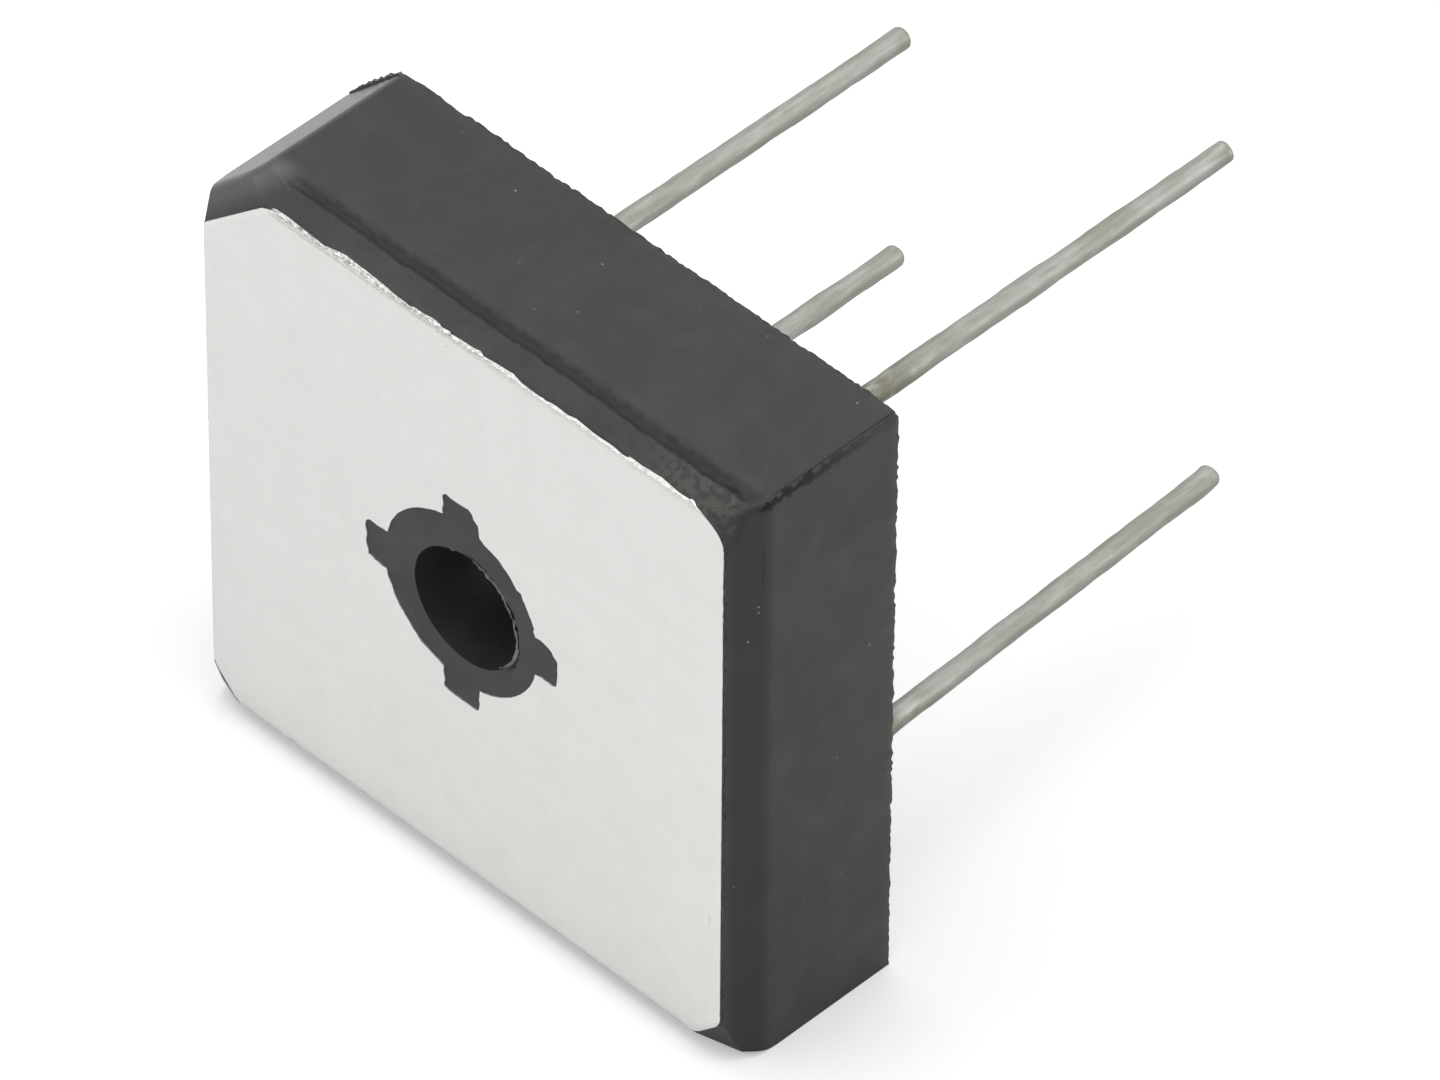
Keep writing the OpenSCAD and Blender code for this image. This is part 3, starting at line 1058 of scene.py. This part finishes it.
# Base plate: blanked sheet.  The punch rolled its edges over, left a bright torn burr along the upper side,
# and wore the corners of the keying lugs unevenly
plate = {
    "tornAway": 0.35,  # how much of the upper edge is gone
    "upperCorners": ((-1, 0.5), (1, 0.9)),  # side, and how far the rounding reaches
    "rings": (0.05, 0.06, 0.07, 0.12),  # widths of the bands inside its edges
    "step": 0.08,
    "openingRise": 0.12,  # centre of the opening above the plate's
    "openingReach": 5.35,
    "lugWear": (0.16, 0.6),  # how far a worn corner moves, and over what distance it fades
    "ragged": ((0.18, 0.36), (0.1, 0.16)),  # unevenness of the opening: heights and lengths
    "roll": (0.05, 0.11),  # how far its edges fall back, and how far the torn one does
    "trough": 0.05,
    "burr": (0.17, 0.15),  # how far the torn edge reaches out, and the length of its teeth
    "burrWidth": 0.24,
    "burrDepth": 0.16,
}
keyLeg = 3.8, 3.4
plateMiddle = (plateLow + plateHigh) / 2
plateTop = plateHigh.z - plate["tornAway"]
openingMiddle = plateMiddle + Vector((0, 0, plate["openingRise"]))


def edgeDistance(at):
    # how far a point lies inside the plate's outline, in millimetres
    across, up = keyLeg
    key = ((at.x - plateLow.x - across) * up - (at.z - plateHigh.z) * across) / math.hypot(across, up)
    corner = min(
        plateHigh.x + plateHigh.z - at.x - at.z, plateHigh.x - plateLow.z - at.x + at.z,
        at.x + at.z - plateLow.x - plateLow.z,
    )
    return min(
        at.x - plateLow.x, plateHigh.x - at.x, at.z - plateLow.z, plateTop - at.z, key,
        (corner - 1.3) / math.sqrt(2),
    )


def blankPlate():
    sheet = merged("base_plate", "stampedPlate")
    openForEdit(sheet)
    bpy.ops.mesh.select_all(action="SELECT")
    bpy.ops.mesh.bisect(plane_co=(0, 0, mm(plateTop)), plane_no=(0, 0, 1), use_fill=True, clear_outer=True)
    for side, reach in plate["upperCorners"]:
        pick(sheet, "EDGE", lambda at, way: abs(way.y) > 0.9 and at.z > plateTop - 0.02 and at.x * side > 0)
        bpy.ops.mesh.bevel(offset_type="OFFSET", offset=mm(reach), segments=5, affect="EDGES")
    pick(sheet, "FACE", lambda at, way: way.y < -0.9)
    for width in plate["rings"]:
        bpy.ops.mesh.inset(thickness=mm(width), depth=0, use_boundary=True)
    band, step, reach = sum(plate["rings"]), plate["step"], plate["openingReach"]
    sides = [
        (lambda at: at.z > plateTop - band, 0, steps(plateLow.x + 3.7, plateHigh.x - 1.2, step)),
        (lambda at: at.x > plateHigh.x - band, 2, steps(plateLow.z + 1.4, plateHigh.z - 1.4, step)),
        (lambda at: at.z < plateLow.z + band, 0, steps(plateLow.x + 1.4, plateHigh.x - 1.4, step)),
        (lambda at: at.x < plateLow.x + band, 2, steps(plateLow.z + 1.4, plateHigh.z - 3.5, step)),
        (
            lambda at: edgeDistance(at) < band and at.x < plateLow.x + 3.8 and (at.z > plateHigh.z - 3.4),
            0, steps(plateLow.x + 0.3, plateLow.x + 3.6, step),
        ),
        (
            lambda at: edgeDistance(at) < band and at.x > plateHigh.x - 1.3, 2,
            steps(plateHigh.z - 1.2, plateTop - 0.1, step),
        ),
    ]
    for side, axis, places in sides:
        score(sheet, lambda at, way: side(at) and way.y < -0.9, axis, places)
    for axis in (0, 2):
        middle = openingMiddle[axis]
        score(
            sheet, lambda at, way: abs(at.x) < 12 and way.y < -0.9 and (edgeDistance(at) > band), axis,
            [middle - reach, middle + reach],
        )
    for axis in (0, 2):
        middle = openingMiddle[axis]
        score(
            sheet, lambda at, way: max(abs(at.x - openingMiddle.x), abs(at.z - openingMiddle.z)) < reach,
            axis, steps(middle - 5, middle + 5, 2.5 * step),
        )
    closeEdit()
    return sheet


def wearOpening(sheet):
    shift, fade = plate["lugWear"]
    long, short = 5.05, 0.95
    # the blunt corner of each lug, and which way it moves
    corners = [
        ((short, long), (-1, -1)), ((-long, -short), (0.4, 0.5)), ((long, short), (-1, -1)),
        ((-short, -long), (0.2, 0.2)),
    ]
    for number, (corner, way) in enumerate(corners):
        spot = openingMiddle + Vector((corner[0], 0, corner[1]))

        def near(at):
            return 1 - eased(math.hypot(at.x - spot.x, at.z - spot.z), 0.15, fade)

        weigh(sheet, "lug", near)
        push(sheet, "lug", "X", shift * way[0])
        weigh(sheet, "lug", near)
        push(sheet, "lug", "Z", shift * way[1])
    for height, length in plate["ragged"]:
        for direction in ("X", "Z"):
            weigh(
                sheet, "ragged",
                lambda at: (
                    1
                    - eased(max(abs(at.x - openingMiddle.x), abs(at.z - openingMiddle.z)), 5.12, 5.3)
                ),
            )
            push(sheet, "ragged", direction, height, length)


def tearEdges(sheet):
    width, (reach, teeth) = plate["burrWidth"], plate["burr"]

    def rim(at):
        return 1 - eased(edgeDistance(at), 0, width) if at.y < 0.2 else 0

    def upper(at):
        return eased(at.z, plateTop - 0.4, plateTop - 0.15) * eased(at.x, -10.4, -9.9)

    def torn(at):
        return max(upper(at), 0.7 * eased(at.x, 13.1, 13.4) * eased(at.z, 2, 9), 0.25)

    def trough(at):
        return eased(0.13 - abs(edgeDistance(at) - 0.24), 0, 0.1) * torn(at) if at.y < 0.2 else 0

    roll, tornRoll = plate["roll"]
    weigh(sheet, "roll", rim)
    push(sheet, "roll", "Y", roll)
    weigh(sheet, "roll", lambda at: rim(at) * upper(at) * (1 - 0.8 * eased(at.x, -7, 0)))
    push(sheet, "roll", "Y", tornRoll - roll)
    weigh(sheet, "trough", trough)
    push(sheet, "trough", "Y", plate["trough"])
    weigh(sheet, "torn", lambda at: rim(at) * torn(at))
    push(sheet, "torn", "Y", plate["burrDepth"], teeth)
    for height, length in ((0.5 * reach, 3 * teeth), (reach, teeth), (0.6 * reach, 0.6 * teeth)):
        weigh(sheet, "torn", lambda at: rim(at) * upper(at))
        push(sheet, "torn", "Z", height, length, middle=0.45)
        weigh(sheet, "torn", lambda at: rim(at) * eased(at.x, 13.3, 13.45) * (0.3 + 0.4 * eased(at.z, 6, 9)))
        push(sheet, "torn", "X", height, length, middle=0.5)
    flattenTo(sheet, 1, 0, -1)


sheet = blankPlate()
wearOpening(sheet)
pocketTool = sheet.copy()
pocketTool.data = sheet.data.copy()
bpy.context.scene.collection.objects.link(pocketTool)
tearEdges(sheet)
finish(sheet, "plate", ["base_plate"], 35)

# Moulding: one block with a cut corner, bevels round the plate, a bore,
# and a plug that fills the plate's opening
moulding = {
    "softness": 0.52,  # reach of the rounding between its faces
    "front": 0.05,  # depth of the plastic beside the plate
    "cornerCut": 2.9,  # leg of the large corner cut
    "land": 0.15,  # flat beside the plate, at the right
    "upperFront": 0.1,  # how far its upper lip stands back from the plate's face
    "highBevel": 1.45,  # depth of the right bevel
    "lowBevel": 2.0,  # depth of the left and lower bevels
    "upperLip": (0.1, 1.0),  # front lip of the groove: how far below the top, and its depth
    "facetSlope": 0.48,
    "boreRadius": 2.65,
    "mouth": (2.6, (0.28, 0.16), 0.4),  # relief at the mouth: radius, shift and depth
    # witness groove under the upper face: depths of its rows, and how much of its full depth each row has
    "grooveRows": {
        0.2: 0, 0.35: 0, 0.5: 0, 0.65: 0, 0.8: 0, 0.94: 0.08, 1.02: 0.5,
        1.1: 0.95, 1.2: 1, 1.32: 1, 1.46: 0.7, 1.62: 0.32, 1.85: 0.06, 2.1: 0,
    },
    "grooveWaver": ((0.3, 0.9), (0.2, 0.25)),  # unevenness of the groove: heights and lengths
    "grooveDepth": 0.28,
    "grooveStep": 0.18,
    "lumps": (0.22, 0.3),  # unevenness between the plate and the groove: height and length
    "wallRows": (3.4, 5.8),  # where the walls and the rear are divided, so each face stays flat
    "wallPlaces": (-13.4, -9, -4.5, 0, 4.5, 9, 13.3),
    "rimRows": (7.86, 8.02, 8.12),
    "rimStep": 0.17,
    "rimWaver": ((0.14, 0.5), (0.15, 0.18)),
}


def carveBlock():
    low, high = Vector(bodyLow), Vector(bodyHigh)
    low.y = moulding["front"]
    bpy.ops.object.select_all(action="DESELECT")
    bpy.ops.mesh.primitive_cube_add(size=1, location=(low + high) / 2000, scale=(high - low) / 1000)
    block = bpy.context.object
    block.name = "moulding"
    bpy.ops.object.transform_apply(location=True, rotation=True, scale=True)
    front, plateCut, plateKey = moulding["front"], 1.3, 3.6
    highBack, lowBack = moulding["highBevel"] - front, moulding["lowBevel"] - front
    right, above, upperFront = plateHigh.x + moulding["land"], plateTop, moulding["upperFront"]
    lipDrop, lipDepth = moulding["upperLip"]
    slope = moulding["facetSlope"]
    planes = [
        ((low.x, 0, high.z - moulding["cornerCut"]), (-1, 0, 1)),
        ((plateLow.x, front, 0), (-lowBack, low.x - plateLow.x, 0)),
        ((0, front, plateLow.z), (0, low.z - plateLow.z, -lowBack)),
        ((right, front, 0), (highBack, right - high.x, 0)),
        ((0, upperFront, above), (0, above - high.z + lipDrop, lipDepth - upperFront)),
        ((plateLow.x, front, plateHigh.z - plateKey), (-slope, -math.sqrt(2), slope)),
        ((plateHigh.x, front, plateHigh.z - plateCut), (slope, -math.sqrt(2), slope)),
        ((plateLow.x, front, plateLow.z + plateCut), (-slope, -math.sqrt(2), -slope)),
        ((plateHigh.x, front, plateLow.z + plateCut), (slope, -math.sqrt(2), -slope)),
    ]
    openForEdit(block)
    for spot, outward in planes:
        bpy.ops.mesh.select_all(action="SELECT")
        bpy.ops.mesh.bisect(
            plane_co=Vector(spot) / 1000, plane_no=Vector(outward).normalized(), use_fill=True,
            clear_outer=True,
        )
    closeEdit()
    return block


def roundEdges(block):
    right, top, left, bottom = bodyHigh.x - 0.01, bodyHigh.z - 0.01, bodyLow.x + 0.01, bodyLow.z + 0.01
    cutTop, cutLeft, cutSum = (
        left + moulding["cornerCut"], top - moulding["cornerCut"], top - left - moulding["cornerCut"],
    )

    def soft(at, way):
        rightCorner = abs(way.y) > 0.9 and at.x > right and at.z > top
        bevelBorder = (
            1 < at.y < 3
            and max(abs(way.x), abs(way.z)) > 0.9
            and (abs(at.x) > right or at.z < bottom)
        )
        facetBorder = 0.1 < at.y < 2.2 and abs(way.y) > 0.15 and min(at.x, at.z) > 11.5
        cutBorder = (
            at.x < cutTop
            and at.z > cutLeft
            and at.y < 2.5
            and abs(way.y) < 0.9
            and at.z - at.x > cutSum - 0.1
        )
        cutLength = at.x < cutTop + 0.1 and at.z > cutLeft - 0.1 and at.y > 2 and abs(way.y) > 0.9
        return rightCorner or bevelBorder or facetBorder or cutBorder or cutLength

    # how far each rounding reaches, its segments, and which edges it takes
    roundings = [
        (moulding["softness"], 6, soft),
        (0.1, 2, lambda at, way: abs(way.y) > 0.9 and abs(at.x) > right and at.z < bottom),
        (0.03, 1, lambda at, way: at.y < moulding["front"] + 0.01),
    ]
    openForEdit(block, "EDGE")
    for reach, count, line in roundings:
        print("edges rounded:", pick(block, "EDGE", line))
        bpy.ops.mesh.bevel(
            offset_type="OFFSET", offset=mm(reach), segments=count, affect="EDGES", clamp_overlap=True,
        )
    closeEdit()


def scoreGroove(block):
    rows, depth, step = moulding["grooveRows"], moulding["grooveDepth"], moulding["grooveStep"]
    first, last = min(rows), max(rows)
    openForEdit(block)
    score(block, lambda at, way: way.z > 0.75 and abs(way.x) < 0.2, 1, rows)
    score(
        block, lambda at, way: way.z > 0.75 and abs(way.x) < 0.2 and (first < at.y < last), 0,
        steps(-11.2, 13.9, step),
    )
    closeEdit()

    def profile(at):
        if at.z < 13 or not first < at.y < last:
            return 0
        nearest = min(rows, key=lambda row: abs(row - at.y))
        return rows[nearest] * eased(at.x, -11.4, -9.4) * (1 - 0.6 * eased(at.x, 13.2, 14.2))

    weigh(block, "groove", profile)
    push(block, "groove", "Z", -depth)

    def nearGroove(at):
        if at.z <= 13.3:
            return 0
        along = eased(at.x, -11.2, -10) * (1 - eased(at.x, 13.4, 13.9))
        return eased(at.y, 0.6, 1) * (1 - eased(at.y, 1.5, 2)) * along

    def between(at):
        # the band between the plate and the groove
        if at.z <= 13.3 or at.x <= -11:
            return 0
        along = (0.3 + 0.7 * eased(at.x, 2, 10)) * (1 - eased(at.x, 13.6, 14))
        return (1 - eased(at.y, 1.3, 1.8)) * eased(at.y, 0.1, 0.3) * along

    for height, length in moulding["grooveWaver"]:
        weigh(block, "nearGroove", nearGroove)
        push(block, "nearGroove", "Y", height, length)
    weigh(block, "between", between)
    push(block, "between", "Z", *moulding["lumps"], middle=0.6)


def roughenRims(block):
    # the rear edge, where the mould halves met
    rows, step = moulding["rimRows"], moulding["rimStep"]
    walls = [
        (lambda at, way: way.z > 0.9, 0, steps(-11.2, 13.9, step)),
        (lambda at, way: way.z < -0.9, 0, steps(-14, 14, step)),
        (lambda at, way: way.x > 0.9, 2, steps(-14, 13.7, step)),
        (lambda at, way: way.x < -0.9, 2, steps(-14, 11.2, step)),
        (lambda at, way: way.x < -0.6 and way.z > 0.6, 2, steps(11.5, 14.1, step)),
    ]
    openForEdit(block)
    for wall, axis, places in walls:
        score(block, wall, 1, moulding["wallRows"])
        score(block, wall, axis, moulding["wallPlaces"])
        score(block, lambda at, way: wall(at, way) and at.y > moulding["wallRows"][-1], 1, rows)
        score(block, lambda at, way: wall(at, way) and at.y > rows[0], axis, places)
    closeEdit()
    for height, length in moulding["rimWaver"]:
        weigh(block, "rim", lambda at: eased(at.y, rows[0] + 0.1, 8.1))
        push(block, "rim", "NORMAL", height, length, middle=0.64)


block = carveBlock()
roundEdges(block)
scoreGroove(block)
roughenRims(block)
for axis in (0, 1, 2):
    flattenTo(block, axis, bodyLow[axis], -1)
    flattenTo(block, axis, bodyHigh[axis], 1)

bpy.ops.object.select_all(action="DESELECT")
bpy.ops.mesh.primitive_cylinder_add(
    vertices=96, radius=mm(moulding["boreRadius"]), depth=mm(20), rotation=(math.pi / 2, 0, 0),
)
cut(block, bpy.context.object)
mouthRadius, mouthShift, mouthDepth = moulding["mouth"]
bpy.ops.mesh.primitive_cylinder_add(
    vertices=96, radius=mm(mouthRadius), depth=mm(2 * mouthDepth),
    location=(mm(mouthShift[0]), 0, mm(mouthShift[1])), rotation=(math.pi / 2, 0, 0),
)
cut(block, bpy.context.object)
cut(block, pocketTool)
finish(block, "plastic", ["body"])

# Flash: thin resin that crept between the mould and its pins, paler where the light passes into it
flash = {
    "boreRing": (2.6, 2.71),  # inner and outer radius of the lip round the bore
    "boreDepths": (0.07, 0.55),
    # which way the lip lies, in degrees, and how far from the bore's middle it is cut off
    "boreSide": (30, 0.5),
    "boreTeeth": (0.26, 0.22),
    "boreWander": (0.16, 0.3),
    # direction and half width of its thick end, in degrees, and how far that reaches out
    "bulge": (-24, 18, 0.2),
    "rearDepths": (8.0, 8.16),
    "rearReach": 0.26,
    "rearThickness": 0.12,
    "rearStep": 0.11,
}


def boreLip():
    inner, outer = flash["boreRing"]
    front, rear = flash["boreDepths"]
    rings = []
    for radius, spare in ((outer, 0), (inner, 1)):
        bpy.ops.object.select_all(action="DESELECT")
        bpy.ops.mesh.primitive_cylinder_add(
            vertices=144, radius=mm(radius), depth=mm(rear - front + spare),
            location=(0, mm((rear + front) / 2), 0), rotation=(math.pi / 2, 0, 0),
        )
        bpy.ops.object.transform_apply(location=True, rotation=True, scale=True)
        rings.append(bpy.context.object)
    lip = rings[0]
    lip.name = "boreLip"
    cut(lip, rings[1])
    angle, gap = flash["boreSide"]
    side = Vector((math.cos(math.radians(angle)), 0, math.sin(math.radians(angle))))
    openForEdit(lip)
    bpy.ops.mesh.select_all(action="SELECT")
    # a fine threshold, or points up to 0.1 mm from the plane count as lying on it
    bpy.ops.mesh.bisect(
        plane_co=side * mm(gap), plane_no=side, use_fill=True, clear_inner=True, threshold=1e-7,
    )
    score(
        lip, lambda at, way: abs(way.y) < 0.1 and at.dot(side) > gap + 0.04, 1,
        steps(front + 0.06, rear - 0.1, 0.08),
    )
    closeEdit()
    toward, half, reach = flash["bulge"]

    def swollen(at):
        turned = abs(math.degrees(math.atan2(at.z, at.x)) - toward)
        return (1 - eased(turned, half * 0.5, half * 1.3)) * (math.hypot(at.x, at.z) > (inner + outer) / 2)

    weigh(lip, "bulge", swollen)
    push(lip, "bulge", "X", reach)
    weigh(lip, "bulge", swollen)
    push(lip, "bulge", "Z", -reach * 0.5)
    weigh(lip, "teeth", lambda at: 1 - eased(at.y, front, front + 0.3))
    height, length = flash["boreTeeth"]
    push(lip, "teeth", "Y", height, length, middle=0.2)
    weigh(lip, "wander", lambda at: 1)
    push(lip, "wander", "NORMAL", *flash["boreWander"])
    finish(lip, "plastic", [], 50)
    # only its broken front edge is pale
    lip.data.materials.append(finishes["plastic"])
    lip.data.materials[0] = finishes["thinResin"]
    for face in lip.data.polygons:
        face.material_index = int(abs(face.normal.y) < 0.6)


def rearFlash():
    # a ragged strip that stands up along the rear edge of the corner cut
    front, rear = flash["rearDepths"]
    leg = moulding["cornerCut"]
    middle = Vector((bodyLow.x + leg / 2, (front + rear) / 2, bodyHigh.z - leg / 2))
    bpy.ops.object.select_all(action="DESELECT")
    long = leg * math.sqrt(2) - 0.3
    bpy.ops.mesh.primitive_cube_add(
        size=1, location=middle / 1000, rotation=(0, -math.pi / 4, 0),
        scale=(mm(long), mm(rear - front), mm(flash["rearThickness"])),
    )
    strip = bpy.context.object
    strip.name = "cornerFlash"
    bpy.ops.object.transform_apply(location=True, rotation=True, scale=True)
    openForEdit(strip)
    score(strip, lambda at, way: True, 0, steps(bodyLow.x + 0.2, bodyLow.x + leg - 0.2, flash["rearStep"]))
    closeEdit()
    out = Vector((-1, 0, 1)).normalized()
    for direction, sign in (("X", -1), ("Z", 1)):
        weigh(
            strip, "teeth",
            lambda at: (
                ((at - middle).dot(out) > 0.03)
                * (1 - eased(abs(at.x - middle.x), leg / 2 - 0.75, leg / 2 - 0.2))
            ),
        )
        push(strip, "teeth", direction, sign * flash["rearReach"], 0.2, middle=0.36)
    finish(strip, "plastic", [], 30)


boreLip()
rearFlash()

# Wires: one drawn and tinned wire, copied for each lead, drawn out to its length
# and bent where the lead is bent
wire = {
    "radius": 0.488,
    "sides": 40,
    "start": 4,  # free length of the first wire, before it is drawn out
    "step": 0.45,
    "tip": (0.26, 5),  # rounding of the free end, and its segments
    # bead that locks it in the moulding: radius, and where it lies below the back face
    "bead": (0.83, 0.1, 0.8),
    "waver": (0.1, 2),  # unevenness of the tin: height and length
    "lumps": (0.05, 0.6),
    # how many degrees the end is turned about X and about Z, as the cutter left it
    "ends": {"positive": (6, -4), "ac_1": (16, -12), "ac_2": (-5, 6), "negative": (7, 4)},
}


def turn(axis, degrees, centre):
    # with no window this operator turns the other way
    bpy.ops.transform.rotate(
        value=-math.radians(degrees), orient_axis=axis, orient_type="GLOBAL", center_override=centre,
    )


def drawWire(buried):
    bpy.ops.object.select_all(action="DESELECT")
    whole = buried + wire["start"]
    centre = (0, mm(wire["start"] - whole / 2), 0)
    bpy.ops.mesh.primitive_cylinder_add(
        vertices=wire["sides"], radius=mm(wire["radius"]), depth=mm(whole), rotation=(-math.pi / 2, 0, 0),
        location=centre,
    )
    master = bpy.context.object
    bpy.ops.object.transform_apply(location=True, rotation=True, scale=True)
    openForEdit(master)
    swell, top, bottom = wire["bead"]
    score(master, lambda at, way: abs(way.y) < 0.1, 1, [-bottom, -top])
    pick(master, "FACE", lambda at, way: abs(way.y) < 0.1 and -bottom < at.y < -top)
    bpy.ops.mesh.extrude_region_move()
    ratio = swell / wire["radius"]
    bpy.ops.transform.resize(value=(ratio, 1, ratio), center_override=(0, 0, 0))
    pick(master, "EDGE", lambda at, way: at.y > wire["start"] - 0.01)
    reach, count = wire["tip"]
    bpy.ops.mesh.bevel(offset_type="OFFSET", offset=mm(reach), segments=count, affect="EDGES")
    closeEdit()
    return master


def fitWire(master, name):
    mount = next(m for m in frame["record"]["mounts"] if m["name"] == name + "_wire")
    begin, way = Vector(mount["pos_m"]) * 1000, Vector(mount["axis"])
    foot = begin - way * ((begin.y - bodyHigh.y) / way.y)
    free = (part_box("lead_" + name)[1].y * 1000 - bodyHigh.y) / way.y - 0.03
    piece = master.copy()
    piece.data = master.data.copy()
    piece.name = "wire_" + name
    bpy.context.scene.collection.objects.link(piece)
    openForEdit(piece)
    pick(piece, "VERT", lambda at, turned: at.y > wire["start"] / 2)
    bpy.ops.transform.translate(value=(0, mm(free - wire["start"]), 0))
    score(piece, lambda at, turned: abs(turned.y) < 0.3 and at.y > 0, 1, steps(0, free - 0.5, wire["step"]))
    aboutX, aboutZ = wire["ends"][name]
    for axis, angle in (("X", aboutX), ("Z", aboutZ)):
        pick(piece, "VERT", lambda at, turned: at.y > free - 0.4)
        turn(axis, angle, (0, mm(free - 0.5), 0))
    bends = ("X", math.degrees(math.atan2(way.z, way.y))), ("Z", math.degrees(math.atan2(-way.x, way.y)))
    for axis, angle in bends:
        pick(piece, "VERT", lambda at, turned: at.y > 0.05)
        turn(axis, angle, (0, 0, 0))
    pick(piece, "VERT", lambda at, turned: True)
    bpy.ops.transform.translate(value=(mm(foot.x), mm(bodyHigh.y), mm(foot.z)))
    closeEdit()
    weigh(piece, "free", lambda at: eased(at.y, bodyHigh.y, bodyHigh.y + 0.5))
    for height, length in (wire["waver"], wire["lumps"]):
        push(piece, "free", "NORMAL", height, length, middle=0.6)
    finish(piece, "tin", ["lead_" + name], 40)


firstWire = drawWire(bodyHigh.y - 4)
for name in wire["ends"]:
    fitWire(firstWire, name)
bpy.data.objects.remove(firstWire)
